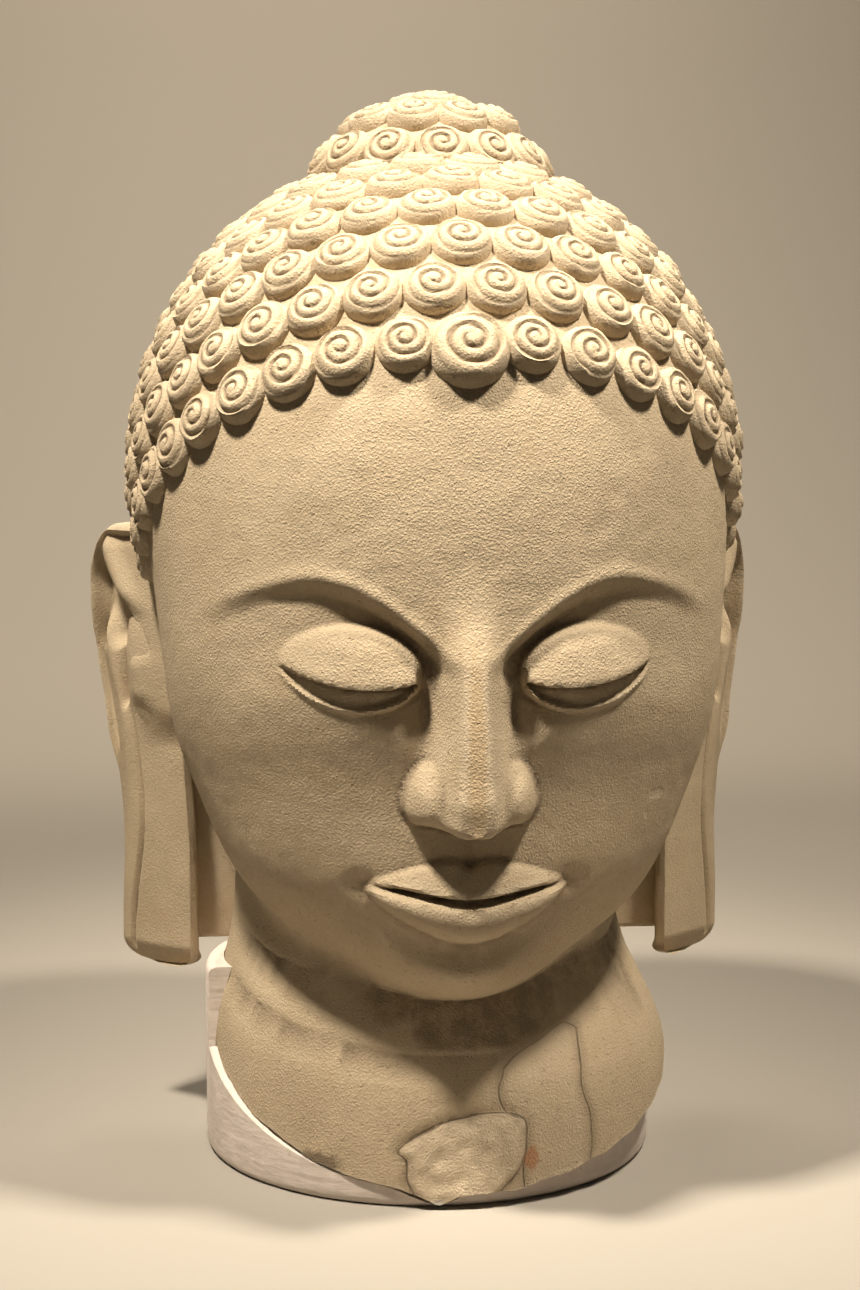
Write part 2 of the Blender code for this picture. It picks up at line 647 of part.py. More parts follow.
def build_cradle(collection, cutters):
    """The round block: cut down along the break, and hollowed round the back of the neck."""
    made = bmesh.new()
    middle = Matrix.Translation((NECK_SIDE, 0.0, CRADLE_HEIGHT / 2))
    bmesh.ops.create_cone(
        made, cap_ends=True, segments=96, radius1=CRADLE_RADIUS, radius2=CRADLE_RADIUS,
        depth=CRADLE_HEIGHT, matrix=middle,
    )
    mesh = bpy.data.meshes.new("neck_cradle")
    made.to_mesh(mesh)
    made.free()
    cradle = link("neck_cradle", mesh, collection)
    cradle.data.materials.append(plain_material("white_plaster", PLASTER_COLOUR, 0.6))
    rounded = cradle.modifiers.new("edges", "BEVEL")
    rounded.width = CRADLE_EDGE
    rounded.segments = 2
    rounded.limit_method = "ANGLE"

    reach = 2 * CRADLE_RADIUS
    seat = link("seat", core_mesh("seat", 96, 96, SEAT_CLEARANCE, seat_distance), cutters)
    near = 0.9 * reach
    open_front = box_mesh("open_front", (-near, -near, -near), (near, COLLAR_FRONT, near))
    open_side = box_mesh("open_side", (COLLAR_SIDE, -reach, -reach), (reach, reach, reach))
    for clear in (open_front, open_side):
        cut(seat, make_cutter(link(clear.name, clear, cutters)), clear.name, "UNION")
    cut(seat, below_break("seat_floor", BREAK_GAP, cutters), "floor")
    hollow = cut(cradle, make_cutter(seat), "seat")
    hollow.use_self = True
    return cradle


def main():
    """Clears the scene and builds the head on its cradle."""
    for old in list(bpy.data.objects):
        bpy.data.objects.remove(old)
    collection = bpy.data.collections.new("stone_buddha_head")
    cutters = bpy.data.collections.new("cutters")
    for made in (collection, cutters):
        bpy.context.scene.collection.children.link(made)
    build_stone(collection, cutters)
    build_cradle(collection, cutters)


main()
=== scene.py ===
"""A stone Buddha head on its round plaster cradle: the finished surfaces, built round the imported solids.

Metres, +Z up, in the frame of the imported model. The face looks along -Y.
"""

import math

import bpy
import numpy as np
from bpy.props import FloatProperty, FloatVectorProperty, IntProperty, PointerProperty
from bpy.types import Operator, Panel, PropertyGroup
from mathutils import Matrix, Vector, noise


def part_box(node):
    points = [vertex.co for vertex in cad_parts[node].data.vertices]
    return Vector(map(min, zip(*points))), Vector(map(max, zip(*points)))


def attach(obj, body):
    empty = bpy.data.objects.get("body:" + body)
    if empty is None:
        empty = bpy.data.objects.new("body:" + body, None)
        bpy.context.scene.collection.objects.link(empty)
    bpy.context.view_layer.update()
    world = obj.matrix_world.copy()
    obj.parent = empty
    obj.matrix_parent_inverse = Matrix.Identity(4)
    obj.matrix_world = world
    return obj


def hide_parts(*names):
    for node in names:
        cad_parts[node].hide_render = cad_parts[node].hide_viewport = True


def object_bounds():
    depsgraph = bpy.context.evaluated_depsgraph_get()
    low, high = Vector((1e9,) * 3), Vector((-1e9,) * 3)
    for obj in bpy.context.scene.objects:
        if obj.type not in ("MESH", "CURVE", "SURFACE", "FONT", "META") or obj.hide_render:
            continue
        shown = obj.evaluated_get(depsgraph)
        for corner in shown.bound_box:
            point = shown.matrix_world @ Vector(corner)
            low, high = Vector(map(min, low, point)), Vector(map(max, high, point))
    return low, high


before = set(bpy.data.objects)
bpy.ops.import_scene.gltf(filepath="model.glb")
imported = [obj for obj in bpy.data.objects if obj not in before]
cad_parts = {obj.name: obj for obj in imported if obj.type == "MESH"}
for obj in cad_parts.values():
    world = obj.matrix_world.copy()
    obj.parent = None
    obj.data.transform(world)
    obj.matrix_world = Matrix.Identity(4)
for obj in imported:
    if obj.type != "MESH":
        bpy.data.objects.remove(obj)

bl_info = {
    "name": "Stone Buddha head",
    "version": (1, 0, 0),
    "blender": (4, 5, 0),
    "location": "3D View > Sidebar > Buddha head",
    "description": "Carves the stone head, its curls and ears, and the plaster cradle under its neck",
    "category": "Object",
}

CAD_BOX = [list(corner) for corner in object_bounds()]
CRADLE_LOW, CRADLE_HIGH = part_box("neck_cradle")
ROOT_BODY = "root"

# The masses of the head. The canon measures a face in fingers, twelve from hairline to chin.
FINGER = 0.0165
HAIRLINE_HEIGHT = 0.277
FACE_TILT = 5.0
SKULL_CENTRE = (0.0, 0.008, 0.247)
SKULL_RADII = (0.107, 0.121, 0.112)
KNOB_CENTRE = (0.0, 0.016, 0.3437)
KNOB_RADII = (0.0423, 0.0430, 0.0363)
BROW_HEIGHT = HAIRLINE_HEIGHT - 4 * FINGER
CHIN_HEIGHT = HAIRLINE_HEIGHT - 12 * FINGER
TILT_PIVOT = np.array((0.0, 0.0, HAIRLINE_HEIGHT - 6.5 * FINGER))

# The neck and its folds.
NECK_RADIUS = 0.0700
NECK_FLARE = 0.0150
NECK_SETBACK = 0.010
NECK_SIDE = -0.003
FLARE_HEIGHT = 0.063
FLARE_REACH = 0.010
FLARE_SHIFT = 0.005
FOLD_HEIGHTS = (0.049, 0.067)
FOLD_DEPTH = 0.0024
FOLD_WIDTH = 0.0032

# The break under the neck: a slant in front, level at the back, and one tooth.
BREAK_FRONT_HEIGHT = 0.0045
BREAK_BACK_HEIGHT = 0.057
BREAK_RISE_BACKWARDS = 0.46
BREAK_FALL_SIDEWAYS = 0.01
TOOTH_PLACE = -0.0075
TOOTH_BOTTOM = 0.0006
TOOTH_HALF_WIDTH = 0.032
TOOTH_HALF_HEIGHT = 0.013
TOOTH_DEPTH = 0.012
NECK_FRONT = -(NECK_RADIUS + NECK_FLARE)
BREAK_SPAN = 0.2

# Where the curls stand.
CURL_SPACING = 0.0196
CURL_SINK = 0.0012
FRONT_CURL_DROP = 0.003
HAIR_LEAN = 35.0
HAIRLINE_ANGLE = 103.0
NAPE_ROWS = 2
NAPE_HEIGHT = 0.165
KNOB_CURL_SCALE = 0.96
KNOB_ROW_ANGLE = 67.0
CURL_TILT = 7.0

# The ears.
EAR_TOP = 0.228
EAR_LENGTH = 0.169
EAR_TURN = 36.0
EAR_TOP_CENTRE = (0.1095, 0.034)
EAR_LOBE_CENTRE = (0.1012, 0.032)
EAR_TOP_HALF_WIDTH = 0.0235
EAR_LOBE_HALF_WIDTH = 0.0185
EAR_HALF_THICKNESS = 0.0060
EAR_WEB_SIZE = (0.040, 0.020, 0.1355)
EAR_WEB_CENTRE = (0.081, 0.038, 0.13725)

# The seat in the cradle.
COLLAR_FRONT = -0.012
COLLAR_SIDE = 0.030
SEAT_CLEARANCE = 0.0003
BREAK_GAP = 0.0003
SELF_CUT = ("plaster_cradle",)

# How the stone's surface is followed.
RAY_CENTRE = np.array((0.0, 0.004, HAIRLINE_HEIGHT - 3.8 * FINGER))
NECK_LEAN = 150.0
TRACE_START = 0.24
TRACE_STEPS = 46
CORE_COLUMNS = 296
CORE_RINGS = 320

# The mended fragments of the neck, as seen from the front: (across, height) of points round each seam.
ROUND_FRAGMENT = (
    (-0.0213, 0.0203), (-0.0129, 0.0261), (-0.0042, 0.0306), (0.0043, 0.0324), (0.0154, 0.0324),
    (0.0224, 0.0294), (0.0226, 0.0215), (0.0205, 0.0136), (0.0148, 0.0070), (0.0060, -0.0010),
    (-0.0060, -0.0060), (-0.0140, 0.0020), (-0.0178, 0.0090), (-0.0183, 0.0165),
)
LONG_FRAGMENT = (
    (0.0422, 0.0565), (0.0365, 0.0581), (0.0268, 0.0538), (0.0174, 0.0494), (0.0140, 0.0443),
    (0.0134, 0.0382), (0.0160, 0.0322), (0.0224, 0.0294), (0.0226, 0.0215), (0.0215, 0.0120),
    (0.0240, 0.0010), (0.0400, -0.0020), (0.0452, 0.0080), (0.0470, 0.0168), (0.0466, 0.0260),
    (0.0430, 0.0377), (0.0435, 0.0466),
)
SEAM_STEPS = 6

# Spots on the stone: (place, size, raggedness) of each.
# The first spot is where the round fragment's seam gapes; its wide dark band is painted shadow of that
# recess.
SEAM_GAP_AND_SHADOW = ((-0.0150, -0.080, 0.0290), (0.0110, 0.03, 0.0060), 0.6)
RUST_STAIN = ((0.0246, -0.082, 0.0160), (0.0034, 0.02, 0.0050), 1.4)
FRESH_CHIP = ((-0.0083, -0.085, 0.0012), (0.0050, 0.02, 0.0030), 0.8)
NOSE_TONE = ((0.0, -0.125, 0.160), (0.0036, 0.05, 0.040), 0.9)
DAMP_STAIN = ((-0.0480, -0.068, 0.0135), (0.0110, 0.02, 0.0046), 1.0)
CHEEK_NICKS = (
    ((0.0668, -0.081, 0.1408), (0.0034, 0.02, 0.0030), 2.2),
    ((0.0632, -0.083, 0.1340), (0.0013, 0.02, 0.0024), 2.2),
)

# The floor, the light and the camera.
FLOOR_SIZE = 8.0
SWEEP_START = 0.9
SWEEP_RADIUS = 0.7
SWEEP_LEAN = 0.02
LAMP_COLOUR = (1.0, 0.90, 0.76)
LAMP_TARGET = (0.0, -0.06, 0.20)
LAMP_SIZE = 0.12
LAMP_SPREAD = 44.0
SKY_STRENGTH = 0.5
CAMERA_SIDE = -0.0018


# Form of the stone.


def smooth_step(low, high, value):
    """0 below low and 1 above high, with a smooth rise between, for numbers or arrays."""
    share = np.clip((value - low) / (high - low), 0.0, 1.0)
    return share * share * (3.0 - 2.0 * share)


def smooth_min(first, second, reach):
    """The smaller of two distances, blended where they lie within reach of each other."""
    share = np.clip(0.5 + 0.5 * (second - first) / reach, 0.0, 1.0)
    return second * (1 - share) + first * share - reach * share * (1 - share)


def smooth_max(first, second, reach):
    """The larger of two values, blended where they lie within reach of each other."""
    return -smooth_min(-first, -second, reach)


def hill(value, width):
    """1 at 0, falling off smoothly over a width."""
    return np.exp(-((value / width) ** 2))


def rotate_x(points, degrees):
    """Points turned about the X axis."""
    angle = math.radians(degrees)
    turned = points.copy()
    turned[:, 1] = points[:, 1] * math.cos(angle) - points[:, 2] * math.sin(angle)
    turned[:, 2] = points[:, 1] * math.sin(angle) + points[:, 2] * math.cos(angle)
    return turned


def to_face(points):
    """Points in the bowed face's own upright frame."""
    return rotate_x(points - TILT_PIVOT, -FACE_TILT) + TILT_PIVOT


def from_face(points):
    """Points of the face's frame back on the bowed head."""
    return rotate_x(points - TILT_PIVOT, FACE_TILT) + TILT_PIVOT


def ellipsoid_distance(points, centre, radii):
    """Roughly the distance to an ellipsoid, negative inside it."""
    scaled = (points - np.array(centre)) / np.array(radii)
    length = np.linalg.norm(scaled, axis=1)
    slope = np.linalg.norm(scaled / np.array(radii), axis=1)
    return length * (length - 1.0) / np.maximum(slope, 1e-9)


def neck_distance(points):
    """The distance to the neck: a round shaft, flared below and ringed in front by the folds."""
    height = np.clip(points[:, 2], 0.0, None)
    flared = 1 / (1 + np.exp((height - FLARE_HEIGHT) / FLARE_REACH))
    x = points[:, 0] - NECK_SIDE - FLARE_SHIFT * flared**2
    y = points[:, 1] - NECK_SETBACK * (1 - flared)
    away = np.maximum(np.hypot(x, y), 1e-6)
    radius = NECK_RADIUS + NECK_FLARE * flared
    facing = np.clip(-y / away, 0.0, 1.0)
    for fold in FOLD_HEIGHTS:
        line = fold + 1.2 * FINGER * (1 - facing)
        radius = radius - FOLD_DEPTH * hill(height - line, FOLD_WIDTH) * smooth_step(0.05, 0.5, facing)
    return np.maximum(away - radius, points[:, 2] - SKULL_CENTRE[2])


def seat_distance(points):
    """The neck alone, closed below its foot."""
    return np.maximum(neck_distance(points), -0.02 - points[:, 2])


def stone_distance(points):
    """The masses of the head blended into one form: skull, knob, face, jaw, chin and neck."""
    f = FINGER
    skull = ellipsoid_distance(points, SKULL_CENTRE, SKULL_RADII)
    knob = ellipsoid_distance(points, KNOB_CENTRE, KNOB_RADII)
    face_points = to_face(points)
    middle = (0.0, -1.3 * f, BROW_HEIGHT - 1.2 * f)
    face = ellipsoid_distance(face_points, middle, (6.0 * f, 5.55 * f, 6.85 * f))
    jaw_centre = (0.0, -2.3 * f, CHIN_HEIGHT + 3.1 * f)
    jaw = ellipsoid_distance(face_points, jaw_centre, (4.4 * f, 4.1 * f, 3.2 * f))
    chin_centre = (0.0, -4.45 * f, CHIN_HEIGHT + 1.4 * f)
    chin = ellipsoid_distance(face_points, chin_centre, (1.8 * f, 1.75 * f, 1.4 * f))
    head = smooth_min(face, jaw, 1.2 * f)
    head = smooth_min(head, chin, 1.3 * f)
    head = smooth_min(skull, head, 1.0 * f)
    head = smooth_min(head, neck_distance(points), 0.45 * f)
    head = smooth_min(head, knob, 0.2 * f)
    return np.maximum(head, -0.02 - points[:, 2])


def trace(origins, directions, grow=0.0, distance=stone_distance):
    """Where each ray, followed inwards from outside, meets a form grown by a margin."""
    reach = np.full(len(directions), TRACE_START)
    for _ in range(TRACE_STEPS):
        points = origins + directions * reach[:, None]
        reach = np.maximum(reach - 0.9 * (distance(points) - grow), 0.0)
    return origins + directions * reach[:, None]


# Carving of the face.


def brow_line(across):
    """The height in fingers of the brow's edge, a bow from the nose's root to the temple."""
    rise = np.clip((across - 0.45) / 2.55, 0.0, 1.0)
    fall = np.clip((across - 3.0) / 2.2, 0.0, 1.0)
    return -0.55 + 1.45 * np.sin(rise * math.pi / 2) - 0.95 * fall**1.7


def brow_relief(across, up):
    """The eye socket, cut back below the brow's crisp edge."""
    below = brow_line(across) - up
    depth = 0.40 - 0.26 * smooth_step(1.2, 4.2, across)
    cut = smooth_step(0.0, 0.5, below) * (1 - smooth_step(1.1, 2.6, below))
    side = smooth_step(0.15, 0.9, across) * (1 - smooth_step(4.3, 5.4, across))
    return 0.035 * hill(below, 0.16) * side - depth * cut * side


# The eye, in fingers across from the middle and up from the brow.
EYE_CENTRE = 2.38
EYE_HALF_WIDTH = 1.34
EYE_LEVEL = -0.98


def eye_relief(across, up):
    """The lidded eyeball: a full upper lid, a narrow downcast opening and a thin lower rim."""
    along = (across - EYE_CENTRE) / EYE_HALF_WIDTH
    inside = np.clip(1 - along**2, 0.0, 1.0)
    corner = EYE_LEVEL + 0.10 * along
    upper = corner - 0.24 * inside**0.9
    lower = corner - 0.64 * inside**0.75
    dome = 1 - (along / 1.16) ** 2 - ((up - EYE_LEVEL - 0.02) / 1.02) ** 2
    ball = 0.52 * np.sqrt(np.clip(dome, 0.0, 1.0)) * smooth_step(0.0, 0.3, dome)
    spread = smooth_step(0.0, 0.12, inside)
    lid = 0.085 * hill(np.clip(up - upper, 0, 9), 0.30) * (up > upper)
    opening = smooth_step(-0.03, 0.03, upper - up) * smooth_step(-0.03, 0.03, up - lower)
    slit = -0.10 * opening - 0.07 * opening * hill(upper - up, 0.07)
    rim = 0.085 * hill(up - lower + 0.07, 0.075)
    crease = -0.07 * hill(up - lower + 0.24, 0.075)
    return ball + spread * (lid + slit + rim + crease)


def nose_relief(across, up):
    """A straight ridge that widens to the tip, with round wings and a level underside."""
    along = np.clip((0.5 - up) / 4.45, 0.0, 1.0)
    height = 0.26 + 1.22 * along**1.25
    height = height * smooth_step(1.3, -0.7, up)
    height = height - 0.22 * smooth_step(-3.15, -4.05, up)
    ridge = 0.10 + 0.20 * along**2
    foot = 0.76 + 0.50 * along
    bridge = height * (1 - smooth_step(ridge, foot, across))
    wing_rise = (up + 3.5) / np.where(up > -3.5, 0.95, 0.56)
    dome = 1 - ((across - 0.76) / 0.58) ** 2 - wing_rise**2
    wing = 0.84 * np.clip(dome, 0.0, 1.0) ** 0.7
    solid = smooth_max(bridge, wing, 0.30) - 0.075
    base = -3.98 + 0.12 * smooth_step(0.1, 0.9, across)
    under = smooth_step(base - 0.10, base + 0.07, up)
    nostril = ((across - 0.48) / 0.22) ** 2 + ((up - base) / 0.13) ** 2
    return np.clip(solid, 0, None) * under - 0.26 * np.exp(-nostril) * under


# The mouth, in the same measure.
MOUTH_HALF_WIDTH = 2.08
MOUTH_LEVEL = -5.36


def mouth_relief(across, up):
    """Full lips with a bowed upper edge, closed on a gently waved line."""
    along = np.clip(across / MOUTH_HALF_WIDTH, 0.0, 1.0)
    line = MOUTH_LEVEL - 0.05 * np.cos(along * math.pi * 1.7) + 0.13 * along**2
    bow = 0.72 + 0.10 * hill(across - 0.45, 0.30) - 0.09 * hill(across, 0.2)
    top = line + bow * (1 - along**1.7)
    full = np.clip(1 - along**2.4, 0.0, 1.0)
    bottom = line - 0.92 * full**0.85
    fade = np.clip(1 - along**4, 0.0, 1.0)
    upper_share = np.clip((top - up) / np.maximum(top - line, 0.02), 0.0, 1.0)
    in_upper = smooth_step(-0.03, 0.03, top - up) * (up >= line)
    upper = (0.11 + 0.33 * upper_share) * in_upper
    lower_share = np.clip((line - up) / np.maximum(line - bottom, 0.02), 0.0, 1.0)
    in_lower = smooth_step(-0.04, 0.04, up - bottom) * (up < line)
    lower = (0.14 + 0.38 * np.sin(math.pi * (0.12 + 0.80 * lower_share)) ** 0.8) * in_lower
    parting = -0.30 * hill(up - line, 0.06)
    hollow = -0.22 * hill(across, 1.4) * hill(up - bottom + 0.40, 0.34)
    mound = 0.22 * hill(across, 2.3) * hill(up + 5.3, 1.1)
    corner = -0.10 * hill(across - 2.1, 0.30) * hill(up - line, 0.26)
    channel = -0.07 * hill(across, 0.2) * smooth_step(-4.9, -4.5, up) * (up < -3.9)
    chin = 0.30 * hill(across, 1.3) * hill(up + 7.15, 0.75)
    return (upper + lower + parting) * fade + hollow * (up < line) + mound + corner + channel + chin


def face_relief(points):
    """How far the carving of the face stands out towards the front, in metres."""
    across = np.abs(points[:, 0]) / FINGER
    up = (points[:, 2] - BROW_HEIGHT) / FINGER
    relief = brow_relief(across, up) + mouth_relief(across, up)
    relief = smooth_max(relief, eye_relief(across, up) - 0.40, 0.10)
    relief = relief + nose_relief(across, up)
    return relief * FINGER * smooth_step(-0.5, -2.5, points[:, 1] / FINGER)


def carve_face(points):
    """Points of the plain form moved out or in by the face's relief."""
    upright = to_face(points)
    upright[:, 1] -= face_relief(upright)
    return from_face(upright)


# Meshes and their points.


def crowd(share, bands):
    """Shares from 0 to 1 moved closer together about the middles of (middle, width, extra) bands."""
    fine = np.linspace(0.0, 1.0, 4001)
    density = np.ones_like(fine)
    for middle, width, extra in bands:
        density = density + extra * np.exp(-(((fine - middle) / width) ** 4))
    total = np.concatenate(([0.0], np.cumsum((density[1:] + density[:-1]) / 2)))
    return np.interp(share, total / total[-1], fine)


def core_rays(unit_points, turn_bands, down_bands):
    """A ray for each point of a UV sphere: crowded over the face, stepping down the neck."""
    turn = np.arctan2(unit_points[:, 0], unit_points[:, 1]) / (2 * math.pi)
    turn = 2 * math.pi * (crowd(np.mod(turn, 1.0), turn_bands) - 0.5)
    down = np.arccos(np.clip(unit_points[:, 2], -1, 1)) / math.pi
    down = crowd(down, down_bands)
    lean = np.radians(np.interp(down, (0.0, 0.80, 0.95, 1.0), (0.0, NECK_LEAN, NECK_LEAN, 180.0)))
    drop = np.interp(down, (0.80, 0.95), (0.0, 1.2 * NECK_RADIUS))
    pole = np.hypot(unit_points[:, 0], unit_points[:, 1]) < 1e-6
    flat = np.where(pole, 0.0, np.sin(lean))
    directions = np.stack((flat * np.sin(turn), -flat * np.cos(turn), np.cos(lean)), axis=1)
    origins = RAY_CENTRE - drop[:, None] * np.array((0.0, 0.0, 1.0))
    return origins, directions


def mesh_points(mesh):
    """A mesh's vertices as an array."""
    points = np.empty(len(mesh.vertices) * 3)
    mesh.vertices.foreach_get("co", points)
    return points.reshape(-1, 3)


def mesh_normals(mesh):
    """A mesh's vertex normals as an array."""
    normals = np.empty(len(mesh.vertices) * 3)
    mesh.vertex_normals.foreach_get("vector", normals)
    return normals.reshape(-1, 3)


def set_points(mesh, points):
    """Writes an array back to a mesh's vertices."""
    mesh.vertices.foreach_set("co", np.ascontiguousarray(points, np.float64).ravel())
    mesh.update()


def roughness_noise(points, size, seed=0.0):
    """Smooth noise from -1 to 1 at each point, with features of a size in metres."""
    scaled = points / size + seed
    return np.fromiter((noise.noise(Vector(p)) for p in scaled), float, len(points))


def mark(mesh, name, values):
    """Stores a value at each vertex for the material to read."""
    attribute = mesh.attributes.get(name) or mesh.attributes.new(name, "FLOAT", "POINT")
    attribute.data.foreach_set("value", np.ascontiguousarray(values, np.float32))


def mark_hollows(mesh, spread):
    """Marks how deep in a crease each vertex lies, averaged over a number of rings round it."""
    count = len(mesh.vertices)
    edges = np.empty(len(mesh.edges) * 2, np.int64)
    mesh.edges.foreach_get("vertices", edges)
    first, second = edges[0::2], edges[1::2]
    degree = np.maximum(np.bincount(edges, minlength=count), 1)

    def around(values):
        total = np.bincount(first, values[second], count) + np.bincount(second, values[first], count)
        return total / degree

    points, normals = mesh_points(mesh), mesh_normals(mesh)
    offsets = np.stack([around(points[:, axis]) - points[:, axis] for axis in range(3)], axis=1)
    lengths = np.linalg.norm(points[first] - points[second], axis=1)
    mean = (np.bincount(first, lengths, count) + np.bincount(second, lengths, count)) / degree
    depth = (offsets * normals).sum(axis=1) / np.maximum(mean, 1e-9)
    for _ in range(spread):
        depth = 0.5 * depth + 0.5 * around(depth)
    mark(mesh, "hollow", depth)


def pick(piece):
    """Makes a piece the only thing selected and active."""
    bpy.ops.object.select_all(action="DESELECT")
    piece.select_set(True)
    bpy.context.view_layer.objects.active = piece


def added(name):
    """The primitive that was just added, under its own name."""
    piece = bpy.context.active_object
    piece.name = name
    piece.data.name = name
    return piece


def sphere(name, columns, rings):
    """A new ball of radius 1 at the origin, ready to be shaped."""
    bpy.ops.object.select_all(action="DESELECT")
    bpy.ops.mesh.primitive_uv_sphere_add(segments=columns, ring_count=rings, radius=1.0)
    return added(name)


def box(name, low, high):
    """A new box between two corners."""
    bpy.ops.object.select_all(action="DESELECT")
    bpy.ops.mesh.primitive_cube_add(size=1.0)
    piece = added(name)
    low, high = Vector(low), Vector(high)
    piece.data.transform(Matrix.Translation((low + high) / 2) @ Matrix.Diagonal((*(high - low), 1.0)))
    return piece


def face_outwards(piece):
    """Turns all the faces of a closed piece outwards."""
    pick(piece)
    bpy.ops.object.mode_set(mode="EDIT")
    bpy.ops.mesh.select_all(action="SELECT")
    bpy.ops.mesh.normals_make_consistent(inside=False)
    bpy.ops.object.mode_set(mode="OBJECT")


def carve(piece, tool, operation="DIFFERENCE"):
    """Cuts a piece with another, or adds it, and removes the tool."""
    pick(piece)
    modifier = piece.modifiers.new("carve", "BOOLEAN")
    modifier.operation = operation
    modifier.solver = "EXACT"
    modifier.use_self = piece.name in SELF_CUT
    modifier.object = tool
    bpy.ops.object.modifier_apply(modifier=modifier.name)
    bpy.data.objects.remove(tool)


def soften(piece, degrees):
    """Shades a piece smooth, with its edges sharper than an angle kept crisp."""
    pick(piece)
    bpy.ops.object.shade_smooth_by_angle(angle=math.radians(degrees))


def join(pieces, name):
    """Joins pieces into the first of them."""
    bpy.ops.object.select_all(action="DESELECT")
    for piece in pieces:
        piece.select_set(True)
    bpy.context.view_layer.objects.active = pieces[0]
    bpy.ops.object.join()
    return added(name)


def keep_in_box(mesh):
    """Holds a mesh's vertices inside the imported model's box."""
    set_points(mesh, np.clip(mesh_points(mesh), *CAD_BOX))


def finish_piece(piece, slot, *materials):
    """Gives a piece its materials and its place on the part's body; the slot it is passed is not used."""
    keep_in_box(piece.data)
    piece.data.materials.clear()
    for material in materials:
        piece.data.materials.append(material)
    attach(piece, ROOT_BODY)


# The break under the neck.


def break_height(points):
    """The height of the clean break at each point of the plan."""
    rise = BREAK_RISE_BACKWARDS * (points[:, 1] - NECK_FRONT)
    fall = BREAK_FALL_SIDEWAYS * (points[:, 0] - NECK_SIDE)
    slant = np.minimum(BREAK_FRONT_HEIGHT + rise - fall, BREAK_BACK_HEIGHT)
    off = np.abs(points[:, 0] - TOOTH_PLACE) / TOOTH_HALF_WIDTH
    tooth = TOOTH_BOTTOM + TOOTH_HALF_HEIGHT * off
    in_tooth = (off < 1) & (points[:, 1] < NECK_FRONT + TOOTH_DEPTH)
    return np.where(in_tooth, np.minimum(slant, tooth), slant)


def below_break(name, cells, drop, roughness):
    """A block that holds everything under the break, its top lowered by a drop or left rough."""
    bpy.ops.object.select_all(action="DESELECT")
    bpy.ops.mesh.primitive_grid_add(x_subdivisions=cells, y_subdivisions=cells, size=BREAK_SPAN)
    tool = added(name)
    points = mesh_points(tool.data)
    points[:, 2] = break_height(points) - drop
    if roughness:
        coarse = roughness_noise(points, 0.011, 3.0)
        fine = roughness_noise(points, 0.004, 9.0)
        points[:, 2] += roughness * (0.5 + 0.5 * coarse + 0.25 * fine).clip(0.0, 1.0)
    set_points(tool.data, points)
    bpy.ops.object.mode_set(mode="EDIT")
    bpy.ops.mesh.select_all(action="SELECT")
    bpy.ops.mesh.extrude_region_move(TRANSFORM_OT_translate={"value": (0.0, 0.0, -0.15)})
    bpy.ops.mesh.select_all(action="SELECT")
    bpy.ops.mesh.normals_make_consistent(inside=False)
    bpy.ops.object.mode_set(mode="OBJECT")
    return tool


# Finishes.


def group_tree(name, inputs, outputs):
    """A new shader node group with named sockets, and its input and output nodes."""
    tree = bpy.data.node_groups.new(name, "ShaderNodeTree")
    for label, kind, default in inputs:
        socket = tree.interface.new_socket(name=label, in_out="INPUT", socket_type=kind)
        if default is not None:
            socket.default_value = default
    for label, kind in outputs:
        tree.interface.new_socket(name=label, in_out="OUTPUT", socket_type=kind)
    return tree, tree.nodes.new("NodeGroupInput"), tree.nodes.new("NodeGroupOutput")


def wire(tree, socket, source):
    """Links a source to a socket, or sets a plain value on it."""
    if isinstance(source, bpy.types.NodeSocket):
        tree.links.new(source, socket)
    else:
        socket.default_value = source


def calculate(tree, operation, first, second=0.0, third=None, clamp=False):
    """A Math node of plain numbers or sockets."""
    node = tree.nodes.new("ShaderNodeMath")
    node.operation = operation
    node.use_clamp = clamp
    wire(tree, node.inputs[0], first)
    wire(tree, node.inputs[1], second)
    if third is not None:
        wire(tree, node.inputs[2], third)
    return node.outputs[0]


def rise(tree, value, low, high, start=0.0, end=1.0):
    """A smooth rise from start to end as a value goes from low to high."""
    node = tree.nodes.new("ShaderNodeMapRange")
    node.interpolation_type = "SMOOTHSTEP"
    for socket, source in zip(node.inputs[:5], (value, low, high, start, end)):
        wire(tree, socket, source)
    return node.outputs[0]


def mottle(tree, vector, scale, detail=4.0, roughness=0.6):
    """Noise from 0 to 1 over a piece, with a scale per metre."""
    node = tree.nodes.new("ShaderNodeTexNoise")
    wire(tree, node.inputs["Vector"], vector)
    wire(tree, node.inputs["Scale"], scale)
    node.inputs["Detail"].default_value = detail
    node.inputs["Roughness"].default_value = roughness
    return node.outputs["Fac"]


def blend(tree, share, first, second, mode="MIX"):
    """A mix of two colours by a share."""
    node = tree.nodes.new("ShaderNodeMix")
    node.data_type = "RGBA"
    node.blend_type = mode
    wire(tree, node.inputs[0], share)
    wire(tree, node.inputs[6], first)
    wire(tree, node.inputs[7], second)
    return node.outputs[2]


def tint(tree, colour, mask, amount, towards):
    """A colour taken some way towards another where a mask lies."""
    return blend(tree, calculate(tree, "MULTIPLY", mask, amount), colour, towards)


